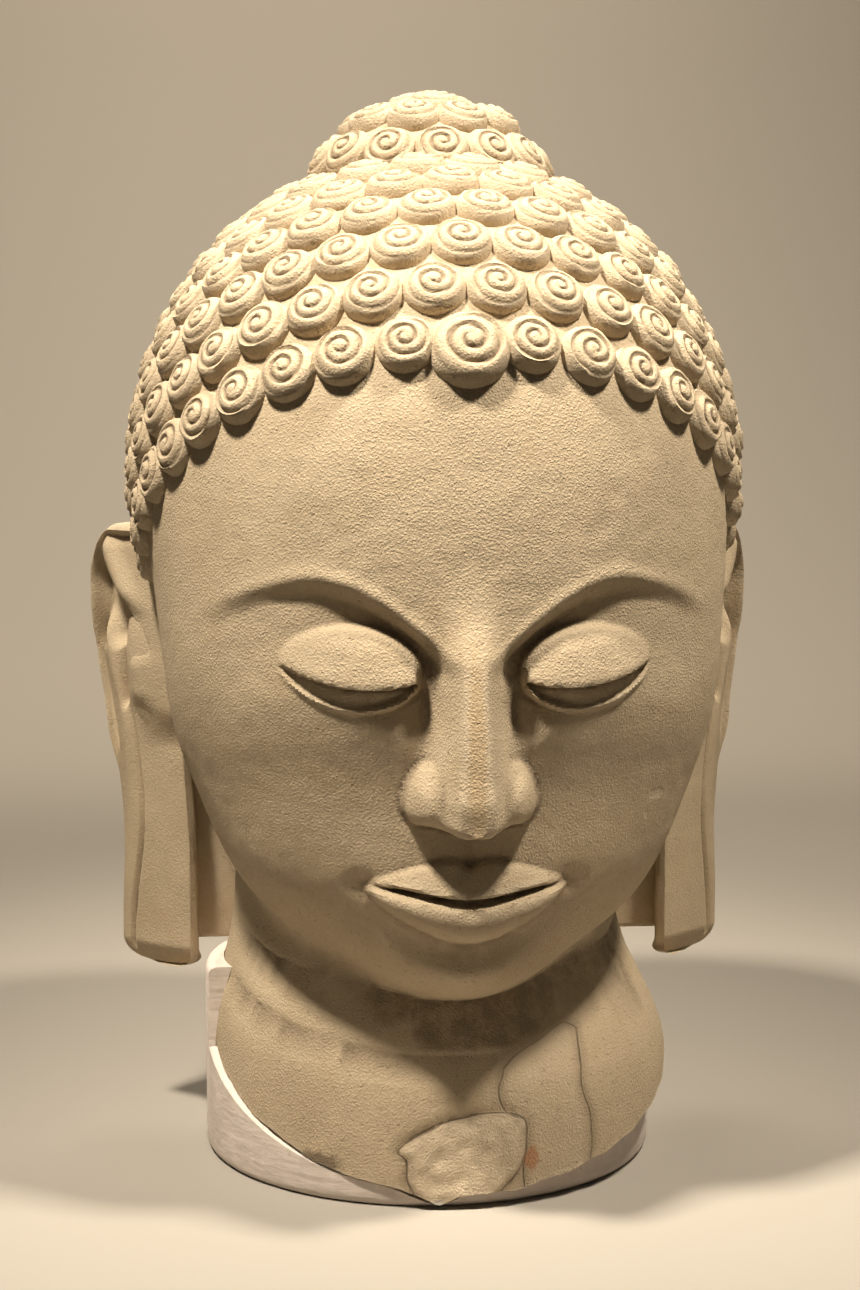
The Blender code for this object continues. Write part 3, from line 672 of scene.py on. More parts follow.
def pecked_grain_group():
    """Group: the height of a pecked stone surface, pits and grains, and where the pits lie."""
    tree, given, result = group_tree(
        "pecked_grain",
        (("Vector", "NodeSocketVector", None), ("Pit Size", "NodeSocketFloat", 0.0016),
         ("Pitting", "NodeSocketFloat", 1.0)),
        (("Height", "NodeSocketFloat"), ("Pits", "NodeSocketFloat")),
    )
    vector, pit_size, pitting = given.outputs[:3]
    scale = calculate(tree, "DIVIDE", 1.0, pit_size)
    cells = tree.nodes.new("ShaderNodeTexVoronoi")
    cells.feature = "SMOOTH_F1"
    cells.inputs["Smoothness"].default_value = 0.35
    cells.inputs["Randomness"].default_value = 1.0
    shaken = tree.nodes.new("ShaderNodeVectorMath")
    shaken.operation = "MULTIPLY_ADD"
    drift = tree.nodes.new("ShaderNodeTexNoise")
    wire(tree, drift.inputs["Vector"], vector)
    wire(tree, drift.inputs["Scale"], calculate(tree, "MULTIPLY", scale, 0.7))
    wire(tree, shaken.inputs[0], drift.outputs["Color"])
    shaken.inputs[1].default_value = (0.0009, 0.0009, 0.0009)
    wire(tree, shaken.inputs[2], vector)
    wire(tree, cells.inputs["Vector"], shaken.outputs[0])
    wire(tree, cells.inputs["Scale"], scale)
    grains = mottle(tree, vector, calculate(tree, "MULTIPLY", scale, 1.6), 3.0, 0.7)
    holes = rise(tree, mottle(tree, vector, calculate(tree, "MULTIPLY", scale, 0.55), 3.0, 0.6), 0.60, 0.72)
    where = rise(tree, mottle(tree, vector, 26.0, 3.0, 0.55), 0.36, 0.62, 0.78, 1.0)
    lumps = rise(tree, cells.outputs["Distance"], 0.62, 0.12)
    surface = calculate(tree, "MULTIPLY_ADD", grains, 1.1, calculate(tree, "MULTIPLY", lumps, 0.45))
    surface = calculate(tree, "SUBTRACT", surface, calculate(tree, "MULTIPLY", holes, 0.7))
    amount = calculate(tree, "MULTIPLY", where, pitting)
    wire(tree, result.inputs["Height"], calculate(tree, "MULTIPLY", surface, amount))
    # The pits' mask: the finish paints shade into the pits with it and makes them rougher.
    dark = calculate(tree, "MULTIPLY_ADD", calculate(tree, "SUBTRACT", 1.0, lumps), 0.5, holes)
    wire(tree, result.inputs["Pits"], calculate(tree, "MULTIPLY", dark, amount, clamp=True))
    return tree


def stone_tone_group():
    """Group: the stone's colour, drifting between three tones in broad clouds and fine specks."""
    tree, given, result = group_tree(
        "stone_tone",
        (("Vector", "NodeSocketVector", None), ("Light", "NodeSocketColor", None),
         ("Dark", "NodeSocketColor", None), ("Warm", "NodeSocketColor", None)),
        (("Color", "NodeSocketColor"),),
    )
    vector, light, dark, warm = given.outputs[:4]
    clouds = rise(tree, mottle(tree, vector, 16.0, 4.0, 0.6), 0.36, 0.66)
    specks = rise(tree, mottle(tree, vector, 420.0, 3.0, 0.7), 0.40, 0.66)
    patches = rise(tree, mottle(tree, vector, 48.0, 5.0, 0.65), 0.50, 0.74)
    colour = tint(tree, light, clouds, 0.40, dark)
    colour = tint(tree, colour, patches, 0.22, warm)
    colour = tint(tree, colour, specks, 0.20, dark)
    wire(tree, result.inputs["Color"], colour)
    return tree


def crease_dirt_and_shade_group():
    """Group: how far a crease is darkened, by grime and by painted shade, from the depth stored on the
    surface.
    """
    tree, given, result = group_tree(
        "crease_dirt_and_shade",
        (("Vector", "NodeSocketVector", None), ("Hollow", "NodeSocketFloat", 0.0),
         ("Full At", "NodeSocketFloat", 0.12)),
        (("Mask", "NodeSocketFloat"), ("Edge", "NodeSocketFloat")),
    )
    vector, hollow, full = given.outputs[:3]
    uneven = rise(tree, mottle(tree, vector, 150.0, 4.0, 0.65), 0.30, 0.62, 0.35, 1.0)
    # Deeper creases come out darker: painted shade, with some grime.
    depth = rise(tree, hollow, 0.012, full)
    wire(tree, result.inputs["Mask"], calculate(tree, "MULTIPLY", depth, uneven))
    worn = rise(tree, calculate(tree, "MULTIPLY", hollow, -1.0), 0.03, full)
    wire(tree, result.inputs["Edge"], calculate(tree, "MULTIPLY", worn, uneven))
    return tree


def soft_spot_group():
    """Group: a soft-edged stain about a place, its outline broken up by noise."""
    tree, given, result = group_tree(
        "soft_spot",
        (("Vector", "NodeSocketVector", None), ("Place", "NodeSocketVector", None),
         ("Size", "NodeSocketVector", None), ("Ragged", "NodeSocketFloat", 0.5)),
        (("Mask", "NodeSocketFloat"),),
    )
    vector, place, size, ragged = given.outputs[:4]
    away = tree.nodes.new("ShaderNodeVectorMath")
    away.operation = "SUBTRACT"
    wire(tree, away.inputs[0], vector)
    wire(tree, away.inputs[1], place)
    scaled = tree.nodes.new("ShaderNodeVectorMath")
    scaled.operation = "DIVIDE"
    wire(tree, scaled.inputs[0], away.outputs[0])
    wire(tree, scaled.inputs[1], size)
    length = tree.nodes.new("ShaderNodeVectorMath")
    length.operation = "LENGTH"
    wire(tree, length.inputs[0], scaled.outputs[0])
    shake = calculate(tree, "SUBTRACT", mottle(tree, vector, 260.0, 4.0, 0.65), 0.5)
    reach = calculate(tree, "MULTIPLY_ADD", shake, ragged, length.outputs["Value"])
    wire(tree, result.inputs["Mask"], rise(tree, reach, 1.0, 0.45))
    return tree


def spiral_groove_group():
    """Group: the groove of a snail-shell curl, wound about the middle of its own UV square."""
    tree, given, result = group_tree(
        "spiral_groove",
        (("UV", "NodeSocketVector", None), ("Pitch", "NodeSocketFloat", 0.37),
         ("Width", "NodeSocketFloat", 0.30)),
        (("Groove", "NodeSocketFloat"),),
    )
    split = tree.nodes.new("ShaderNodeSeparateXYZ")
    wire(tree, split.inputs[0], given.outputs["UV"])
    across = calculate(tree, "MULTIPLY_ADD", split.outputs[0], 2.0, -1.0)
    along = calculate(tree, "MULTIPLY_ADD", split.outputs[1], 2.0, -1.0)
    square = calculate(tree, "MULTIPLY_ADD", across, across, calculate(tree, "MULTIPLY", along, along))
    away = calculate(tree, "SQRT", square)
    turn = calculate(tree, "DIVIDE", calculate(tree, "ARCTAN2", along, across), 2 * math.pi)
    wound = calculate(tree, "SUBTRACT", calculate(tree, "DIVIDE", away, given.outputs["Pitch"]), turn)
    part = calculate(tree, "FRACT", wound)
    off = calculate(tree, "ABSOLUTE", calculate(tree, "SUBTRACT", part, 0.5))
    groove = rise(tree, off, given.outputs["Width"], 0.02)
    inner = rise(tree, away, 0.06, 0.18)
    outer = rise(tree, away, 0.96, 0.86)
    groove = calculate(tree, "MULTIPLY", groove, calculate(tree, "MULTIPLY", inner, outer))
    wire(tree, result.inputs["Groove"], groove)
    return tree


def node_group(name, build):
    """A node group by its name, built the first time it is asked for."""
    return bpy.data.node_groups.get(name) or build()


def use_group(tree, group, **values):
    """Places a node group with its inputs wired or set."""
    node = tree.nodes.new("ShaderNodeGroup")
    node.node_tree = group
    for label, source in values.items():
        wire(tree, node.inputs[label.replace("_", " ")], source)
    return node


def read_attribute(tree, name):
    """The value that a mesh stores at its vertices."""
    node = tree.nodes.new("ShaderNodeAttribute")
    node.attribute_name = name
    return node.outputs["Fac"]


def new_finish(name, roughness, specular):
    """A new material and the parts of it that every finish here needs."""
    material = bpy.data.materials.new(name)
    material.use_nodes = True
    tree = material.node_tree
    shader = tree.nodes["Principled BSDF"]
    shader.inputs["Roughness"].default_value = roughness
    shader.inputs["Specular IOR Level"].default_value = specular
    where = tree.nodes.new("ShaderNodeTexCoord").outputs["Object"]
    return material, tree, shader, where


def bump(tree, shader, height, depth):
    """Feeds a height from 0 to 1 to the shader's normal, as a relief of a depth in metres."""
    node = tree.nodes.new("ShaderNodeBump")
    node.inputs["Distance"].default_value = depth
    node.inputs["Strength"].default_value = 1.0
    wire(tree, node.inputs["Height"], height)
    wire(tree, shader.inputs["Normal"], node.outputs["Normal"])


def rgb(colour):
    """A setting's colour with full opacity."""
    return (*colour, 1.0)


def sandstone(name, stone, pitting, relief, dirt_and_shade_full, extras=None):
    """The buff sandstone: tone, pecked grain with painted shade in its pits, grime and painted shade in the
    creases, and what extras add to it.
    """
    material, tree, shader, where = new_finish(name, 0.9, 0.25)
    tone = use_group(
        tree, node_group("stone_tone", stone_tone_group), Vector=where,
        Light=rgb(stone.light), Dark=rgb(stone.dark), Warm=rgb(stone.warm),
    )
    grain = use_group(
        tree, node_group("pecked_grain", pecked_grain_group), Vector=where,
        Pit_Size=stone.pit_size, Pitting=pitting,
    )
    dirt_and_shade = use_group(
        tree, node_group("crease_dirt_and_shade", crease_dirt_and_shade_group), Vector=where,
        Hollow=read_attribute(tree, "hollow"), Full_At=dirt_and_shade_full,
    )
    # Painted shade in the pits of the pecked grain.
    colour = tint(tree, tone.outputs[0], grain.outputs["Pits"], 0.25, rgb(stone.dirt_and_shade))
    colour = tint(tree, colour, dirt_and_shade.outputs["Edge"], 0.35, rgb(stone.pale))
    # Creases darkened by their depth: painted shade, with some grime.
    colour = tint(tree, colour, dirt_and_shade.outputs["Mask"], 0.75, rgb(stone.dirt_and_shade))
    height = grain.outputs["Height"]
    if extras:
        colour, height = extras(tree, where, colour, height, stone)
    wire(tree, shader.inputs["Base Color"], colour)
    wire(tree, shader.inputs["Roughness"], rise(tree, grain.outputs["Pits"], 0.0, 1.0, 0.82, 0.97))
    bump(tree, shader, height, relief)
    return material


def spot(tree, where, place, size, ragged):
    """The mask of a soft-edged stain at a place."""
    group = node_group("soft_spot", soft_spot_group)
    return use_group(tree, group, Vector=where, Place=place, Size=size, Ragged=ragged).outputs[0]


def add_mends(tree, where, colour, height, stone):
    """On the head: the seams of the mended fragments, with painted shadow where one gapes open, stains, chips
    and scratches.
    """
    sides = [calculate(tree, "ABSOLUTE", read_attribute(tree, name)) for name in ("round_seam", "long_seam")]
    seam = calculate(tree, "MINIMUM", *sides)
    patch = read_attribute(tree, "patch")
    open_here = rise(tree, mottle(tree, where, 75.0, 2.0, 0.5), 0.36, 0.60, 0.55, 1.0)
    crack = calculate(tree, "MULTIPLY", rise(tree, seam, 0.00042, 0.00010), open_here)
    # Where the round fragment's seam gapes, a wider dark band is painted in as the recess's shadow; it also
    # deepens the bump.
    gap_and_shadow = spot(tree, where, *SEAM_GAP_AND_SHADOW)
    wide = calculate(tree, "MULTIPLY", rise(tree, sides[0], 0.0010, 0.0004), gap_and_shadow)
    crack = calculate(tree, "MAXIMUM", crack, wide)
    halo = rise(tree, seam, 0.0040, 0.0004)
    rough = mottle(tree, where, 300.0, 4.0, 0.7)
    colour = tint(tree, colour, calculate(tree, "MULTIPLY", patch, rough), 0.9, rgb(stone.pale))
    colour = tint(tree, colour, halo, 0.35, rgb(stone.dirt_and_shade))
    colour = tint(tree, colour, crack, 0.72, rgb(stone.crack))
    rust = spot(tree, where, *RUST_STAIN)
    colour = tint(tree, colour, rust, 0.75, rgb(stone.rust))
    chip = spot(tree, where, *FRESH_CHIP)
    colour = tint(tree, colour, chip, 0.9, rgb(stone.chip))
    ridge = spot(tree, where, *NOSE_TONE)
    colour = tint(tree, colour, ridge, 0.45, rgb(stone.warm))
    damp = spot(tree, where, *DAMP_STAIN)
    colour = tint(tree, colour, damp, 0.8, rgb(stone.crack))
    for nick in CHEEK_NICKS:
        scratch = spot(tree, where, *nick)
        colour = tint(tree, colour, scratch, 0.4, rgb(stone.pale))
        height = calculate(tree, "SUBTRACT", height, calculate(tree, "MULTIPLY", scratch, 1.2))
    height = calculate(tree, "MULTIPLY_ADD", calculate(tree, "MULTIPLY", rough, patch), 1.6, height)
    height = calculate(tree, "SUBTRACT", height, calculate(tree, "MULTIPLY", crack, 1.4))
    return colour, height


def add_spirals(tree, where, colour, height, stone):
    """On the curls: the spiral groove, darker at its bottom as painted shade."""
    coordinates = tree.nodes.new("ShaderNodeTexCoord").outputs["UV"]
    groove = use_group(tree, node_group("spiral_groove", spiral_groove_group), UV=coordinates).outputs[0]
    # Painted shade: the groove's colour is darkened.
    colour = tint(tree, colour, groove, 0.25, rgb(stone.dirt_and_shade))
    height = calculate(tree, "SUBTRACT", height, calculate(tree, "MULTIPLY", groove, 1.1))
    return colour, height


def painted_plaster(cradle):
    """The cradle's white paint: brushed unevenly, a little grubby at the edges, and darker towards the foot.
    """
    material, tree, shader, where = new_finish("white_plaster", 0.62, 0.35)
    brush = tree.nodes.new("ShaderNodeMapping")
    brush.inputs["Scale"].default_value = (1.0, 1.0, 4.0)
    wire(tree, brush.inputs["Vector"], where)
    strokes = mottle(tree, brush.outputs[0], 90.0, 4.0, 0.55)
    clouds = rise(tree, mottle(tree, where, 22.0, 3.0, 0.6), 0.35, 0.68)
    specks = rise(tree, mottle(tree, where, 330.0, 2.0, 0.6), 0.66, 0.74)
    dirt_and_shade = use_group(
        tree, node_group("crease_dirt_and_shade", crease_dirt_and_shade_group), Vector=where,
        Hollow=read_attribute(tree, "hollow"), Full_At=0.2,
    )
    colour = tint(tree, rgb(cradle.paint), clouds, 0.5, rgb(cradle.shade))
    colour = tint(tree, colour, dirt_and_shade.outputs["Edge"], 0.3, rgb(cradle.grime))
    colour = tint(tree, colour, specks, 0.35, rgb(cradle.grime))
    split = tree.nodes.new("ShaderNodeSeparateXYZ")
    wire(tree, split.inputs[0], where)
    # Darker towards the foot, over its lowest 9 mm.
    foot = rise(tree, split.outputs[2], 0.009, 0.0)
    colour = tint(tree, colour, foot, 0.4, rgb(cradle.grime))
    wire(tree, shader.inputs["Base Color"], colour)
    wire(tree, shader.inputs["Roughness"], rise(tree, strokes, 0.3, 0.7, 0.55, 0.72))
    bump(tree, shader, strokes, 0.0004)
    return material


def studio_paper(stage):
    """The matt floor, paler where it sweeps up behind the head."""
    material, tree, shader, where = new_finish("studio_paper", 0.9, 0.15)
    split = tree.nodes.new("ShaderNodeSeparateXYZ")
    wire(tree, split.inputs[0], where)
    behind = rise(tree, split.outputs[1], 0.10, 1.2)
    colour = blend(tree, behind, rgb(stage.floor_colour), rgb(stage.backdrop_colour))
    wire(tree, shader.inputs["Base Color"], colour)
    return material


# Settings.


def length_setting(name, description, default):
    """A length that a user may change."""
    return FloatProperty(name=name, description=description, default=default, unit="LENGTH", precision=4)


def colour_setting(name, description, default):
    """A colour that a user may change."""
    return FloatVectorProperty(
        name=name, description=description, default=default, subtype="COLOR", size=3, min=0.0, max=1.0
    )


class StoneSettings(PropertyGroup):
    """Sizes and colours of the sandstone."""

    pit_size: length_setting("Pit size", "Width of one peck mark in the stone", 0.0010)
    pit_depth: length_setting("Pit depth", "Depth of the peck marks", 0.00030)
    seam_depth: length_setting("Seam depth", "Depth of the seams round the mended fragments", 0.0009)
    break_roughness: length_setting("Break roughness", "How uneven the broken edge is", 0.0024)
    light: colour_setting("Light tone", "The clean stone", (0.470, 0.375, 0.250))
    dark: colour_setting("Dark tone", "The darker clouds in the stone", (0.345, 0.270, 0.175))
    warm: colour_setting("Warm tone", "The brownish patches", (0.390, 0.270, 0.140))
    pale: colour_setting("Pale tone", "Rubbed edges and the rougher mended fragment", (0.560, 0.465, 0.340))
    # This colour also paints shade into the creases, the grain's pits and the curls' grooves.
    dirt_and_shade: colour_setting("Dirt", "Old dirt in the creases", (0.150, 0.110, 0.070))
    crack: colour_setting("Seam colour", "The line of the glued seams", (0.110, 0.078, 0.050))
    rust: colour_setting("Rust stain", "The stain beside the round fragment", (0.300, 0.130, 0.055))
    chip: colour_setting("Fresh chip", "The fresh stone at the tip of the break", (0.600, 0.560, 0.500))


class CurlSettings(PropertyGroup):
    """Sizes of the snail-shell curls."""

    radius: length_setting("Radius", "Radius of a curl", 0.0103)
    height: length_setting("Height", "How far a curl stands out", 0.0068)
    groove: length_setting("Groove depth", "Depth of the spiral groove", 0.0011)
    front_scale: FloatProperty(name="Front curl", description="Size of the curl over the brow", default=1.3)
    turns: FloatProperty(name="Turns", description="Turns of the spiral groove", default=2.3)
    columns: IntProperty(name="Columns", description="Points round a curl", default=26, min=8)
    rings: IntProperty(name="Rings", description="Rings of a curl", default=15, min=8)


class EarSettings(PropertyGroup):
    """Sizes of the ears' carving."""

    rim_width: length_setting("Rim width", "Width of the rolled rim", 0.0055)
    rim_height: length_setting("Rim height", "How far the rim stands out", 0.0030)
    hollow_depth: length_setting("Hollow depth", "Depth of the hollow under the rim", 0.0058)
    groove_width: length_setting("Groove width", "Width of the long groove in the lobe", 0.0009)
    groove_depth: length_setting("Groove depth", "Depth of the long groove in the lobe", 0.0018)
    columns: IntProperty(name="Columns", description="Points round an ear", default=220, min=16)
    rings: IntProperty(name="Rings", description="Rings of an ear", default=220, min=16)


class CradleSettings(PropertyGroup):
    """Sizes and colours of the plaster cradle."""

    radius: length_setting("Radius", "Radius of the round block", (CRADLE_HIGH.x - CRADLE_LOW.x) / 2)
    height: length_setting("Height", "Height of the collar behind the neck", CRADLE_HIGH.z - CRADLE_LOW.z)
    edge: length_setting("Edge", "Radius of its rounded edges", 0.003)
    paint: colour_setting("Paint", "The white paint", (0.720, 0.630, 0.560))
    shade: colour_setting("Worn paint", "Where the paint has yellowed", (0.610, 0.545, 0.480))
    # The grime colour also darkens the block towards its foot.
    grime: colour_setting("Grime", "Dirt on the edges and the foot", (0.330, 0.270, 0.210))


class StageSettings(PropertyGroup):
    """The floor, the lights and the camera."""

    floor_colour: colour_setting("Floor", "Colour of the floor near the head", (0.310, 0.283, 0.245))
    backdrop_colour: colour_setting("Backdrop", "Colour of the floor's sweep behind", (0.720, 0.655, 0.560))
    key_power: FloatProperty(name="Key light", description="Power of the main lamp in watts", default=2.15)
    second_power: FloatProperty(
        name="Second light", description="Power of the second lamp in watts", default=1.5
    )
    back_power: FloatProperty(name="Back light", description="Power of the soft lamp behind", default=12.0)
    fill: FloatProperty(name="Fill", description="Strength of the light from all sides", default=0.06)
    camera_turn: FloatProperty(
        name="Camera turn", description="How far the camera stands to the figure's right",
        default=math.radians(6.0), subtype="ANGLE",
    )
    camera_pitch: FloatProperty(
        name="Camera pitch", description="How far the camera looks down",
        default=math.radians(6.07), subtype="ANGLE",
    )
    camera_distance: length_setting("Camera distance", "From the camera to the head's axis", 0.8355)
    camera_height: length_setting("Camera height", "Height of the camera over the floor", 0.2726)
    lens: FloatProperty(name="Lens", description="Focal length in millimetres", default=63.88)


# The carved head.


def smooth_outline(corners):
    """A closed outline bent smoothly through its corners."""
    before, at = np.roll(corners, 1, axis=0), np.array(corners)
    after, beyond = np.roll(corners, -1, axis=0), np.roll(corners, -2, axis=0)
    bends = []
    for share in np.arange(SEAM_STEPS) / SEAM_STEPS:
        bend = 2 * at + (after - before) * share
        bend = bend + (2 * before - 5 * at + 4 * after - beyond) * share**2
        bends.append((bend + (3 * at - before - 3 * after + beyond) * share**3) / 2)
    return np.stack(bends, axis=1).reshape(-1, 2)


def fragment_distance(points, outline):
    """The distance to a fragment's seam as seen from the front, negative inside it."""
    seen = points[:, (0, 2)]
    corners = smooth_outline(outline)
    nearest = np.full(len(seen), 1.0)
    inside = np.zeros(len(seen), bool)
    for start, end in zip(corners, np.roll(corners, -1, axis=0)):
        side = end - start
        share = np.clip(((seen - start) @ side) / (side @ side), 0.0, 1.0)
        nearest = np.minimum(nearest, np.linalg.norm(seen - start - share[:, None] * side, axis=1))
        spans = (start[1] > seen[:, 1]) != (end[1] > seen[:, 1])
        height = side[1] if side[1] else 1e-9
        inside ^= spans & (seen[:, 0] < start[0] + side[0] * (seen[:, 1] - start[1]) / height)
    return np.where(inside, -nearest, nearest)


def mend_neck(points, normals, stone):
    """The mended fragments: seams cut in, and the round one bulging and rough."""
    on_neck = (points[:, 2] < 0.085) & (points[:, 1] < -0.02)
    part = points[on_neck]
    wander = np.stack([roughness_noise(part, 0.009, seed) for seed in (11.0, 23.0, 37.0)], axis=1)
    shaken = part + 0.0007 * wander
    round_part = fragment_distance(shaken, ROUND_FRAGMENT)
    long_part = fragment_distance(shaken, LONG_FRAGMENT)
    marks = {name: np.full(len(points), 0.02) for name in ("round_seam", "long_seam")}
    patch = np.zeros(len(points))
    lift = np.zeros(len(points))
    near = np.minimum(np.abs(round_part), np.abs(long_part))
    marks["round_seam"][on_neck] = round_part
    marks["long_seam"][on_neck] = long_part
    in_round = smooth_step(0.0006, -0.0010, round_part)
    in_long = smooth_step(0.0006, -0.0010, long_part)
    patch[on_neck] = in_round + 0.25 * in_long
    bumps = roughness_noise(part, 0.0045, 5.0)
    upper = smooth_step(0.016, 0.026, part[:, 2]) * hill(round_part, 0.0024) * (part[:, 0] < 0.018)
    lift[on_neck] = in_round * (0.0005 + 0.0006 * bumps) - 0.0003 * in_long
    lift[on_neck] -= stone.seam_depth * (0.5 * hill(near, 0.0008) + 0.8 * upper)
    marks["patch"] = patch
    return points + normals * lift[:, None], marks


def build_head(settings):
    """The head without its curls and ears: skull, knob, face and neck down to the break."""
    stone = settings.buddha_stone
    head = sphere("carved_head", CORE_COLUMNS, CORE_RINGS)
    unit = mesh_points(head.data)
    turn_bands = ((0.5, 0.17, 3.6),)
    down_bands = ((0.56, 0.20, 1.5), (0.64, 0.10, 1.2), (0.87, 0.07, 1.6))
    points = trace(*core_rays(unit, turn_bands, down_bands))
    points = carve_face(points)
    set_points(head.data, points)
    face_outwards(head)
    normals = mesh_normals(head.data)
    waver = 0.00016 * roughness_noise(points, 0.006, 1.0) + 0.00025 * roughness_noise(points, 0.022, 2.0)
    points = points + normals * waver[:, None]
    points, _ = mend_neck(points, normals, stone)
    set_points(head.data, points)
    carve(head, below_break("below_break", 110, 0.0, stone.break_roughness))
    points = mesh_points(head.data)
    _, marks = mend_neck(points, mesh_normals(head.data), stone)
    for name, values in marks.items():
        mark(head.data, name, values)
    mark_hollows(head.data, 4)
    soften(head, 42.0)
    finish_piece(head, "sandstone", sandstone("buff_sandstone", stone, 1.0, stone.pit_depth, 0.10, add_mends))
    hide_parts("stone_head")
    return head


# The curls.


def ring_directions(lean_back, rings):
    """Directions at angles from an axis that leans back, each turned about it from the front."""
    lean = Matrix.Rotation(-lean_back, 3, "X")
    found = []
    for from_axis, turn in rings:
        flat = math.sin(from_axis)
        found.append(lean @ Vector((flat * math.sin(turn), -flat * math.cos(turn), math.cos(from_axis))))
    return found


def surface_frames(centre, directions):
    """The points and the outward normals where rays from a centre leave the stone."""
    nudge = 0.01
    rays = []
    for direction in directions:
        upwards = direction.normalized()
        side = upwards.orthogonal().normalized()
        ahead = upwards.cross(side)
        rays += [upwards, (upwards + side * nudge).normalized(), (upwards + ahead * nudge).normalized()]
    hits = trace(np.repeat(np.array([centre]), len(rays), axis=0), np.array(rays))
    frames = []
    for first in range(0, len(rays), 3):
        at, beside, before = (Vector(hit) for hit in hits[first : first + 3])
        frames.append((at, (beside - at).cross(before - at).normalized()))
    return frames


def on_knob(point, margin):
    """Whether a point of the scalp lies under the crown knob."""
    away = math.hypot(point.x - KNOB_CENTRE[0], point.y - KNOB_CENTRE[1])
    return away < KNOB_RADII[0] + margin and point.z > SKULL_CENTRE[2]


def behind_ear(point):
    """Whether a point of the scalp is covered by an ear's root."""
    near = abs(point.y - EAR_TOP_CENTRE[1]) < EAR_TOP_HALF_WIDTH
    return near and point.z < EAR_TOP and abs(point.x) > 0.5 * SKULL_RADII[0]


def scalp_curls(curls):
    """Where the curls of the scalp stand: (point, normal, scale) for each."""
    skull = sum(SKULL_RADII) / 3
    step = CURL_SPACING / (skull + curls.height / 2)
    edge = math.radians(HAIRLINE_ANGLE)
    rings = []
    for row in range(-NAPE_ROWS, int(edge / step) + 1):
        from_axis = edge - row * step
        if from_axis < step / 3:
            continue
        count = max(3, round(2 * math.pi * math.sin(from_axis) / step))
        for place in range(count):
            rings.append((row, place, from_axis, 2 * math.pi * (place + 0.5 * (row % 2)) / count))
    directions = ring_directions(math.radians(HAIR_LEAN), [ring[2:] for ring in rings])
    found = []
    for (row, place, _, _), (point, normal) in zip(rings, surface_frames(SKULL_CENTRE, directions)):
        before_ear = row < 0 and point.y < EAR_TOP_CENTRE[1]
        if before_ear or behind_ear(point) or point.z < NAPE_HEIGHT or on_knob(point, 0.35 * curls.radius):
            continue
        scale = 1.0
        if row == 0 and place == 0:
            scale = curls.front_scale
            point.z -= FRONT_CURL_DROP
        found.append((point, normal, scale))
    return found


def knob_curls(curls):
    """Where the curls of the crown knob stand."""
    radius = (KNOB_RADII[0] + KNOB_RADII[2]) / 2 + curls.height / 2
    step = CURL_SPACING / radius
    rings = []
    edge = math.radians(KNOB_ROW_ANGLE)
    for row in range(int(edge / step) + 1):
        from_axis = edge - row * step
        count = max(1, round(2 * math.pi * math.sin(from_axis) / step))
        for place in range(count):
            rings.append((from_axis, 2 * math.pi * (place + 0.5 * (row % 2)) / count))
    frames = surface_frames(KNOB_CENTRE, ring_directions(0.0, rings))
    return [(point, normal, KNOB_CURL_SCALE) for point, normal in frames]


# The share of a curl's radius that the spiral groove takes up.
GROOVED = 0.82


def curl_template(curls):
    """One curl of radius and height 1 about the origin: a low coil with a spiral groove."""
    curl = sphere("curl", curls.columns, curls.rings)
    unit = mesh_points(curl.data)
    down = np.arccos(np.clip(unit[:, 2], -1, 1)) / math.pi * curls.rings
    around = np.arctan2(unit[:, 1], unit[:, 0])
    last = curls.rings
    side_rings = (last - 4, last - 3, last - 2, last - 1, last)
    away = np.interp(down, (0, *side_rings), (0.0, GROOVED, 0.93, 1.0, 0.98, 0.0))
    level = np.interp(down, side_rings, (0.72, 0.47, 0.08, -0.25, -0.25))
    top = 1.0 - 0.28 * (away / GROOVED) ** 2
    level = np.where(away * (down <= last - 4) > 0, top, level)
    level = np.where(down < 0.5, 1.0, level)
    pitch = GROOVED / curls.turns
    wound = np.mod(away / pitch - around / (2 * math.pi), 1.0)
    depth = curls.groove / curls.height * hill(wound - 0.5, 0.20)
    depth = depth * smooth_step(0.08, 0.2, away) * (down <= last - 3.5)
    flat = np.hypot(unit[:, 0], unit[:, 1])
    pole = flat < 1e-6
    x = np.where(pole, 0.0, away * unit[:, 0] / np.maximum(flat, 1e-9))
    y = np.where(pole, 0.0, away * unit[:, 1] / np.maximum(flat, 1e-9))
    set_points(curl.data, np.stack((x, y, level - depth), axis=1))
    layer = curl.data.uv_layers[0] if curl.data.uv_layers else curl.data.uv_layers.new(name="UVMap")
    corners = np.empty(len(curl.data.loops), np.int64)
    curl.data.loops.foreach_get("vertex_index", corners)
    squares = np.stack((0.5 + 0.5 * x, 0.5 + 0.5 * y), axis=1)[corners]
    layer.data.foreach_set("uv", np.ascontiguousarray(squares, np.float32).ravel())
    soften(curl, 50.0)
    return curl


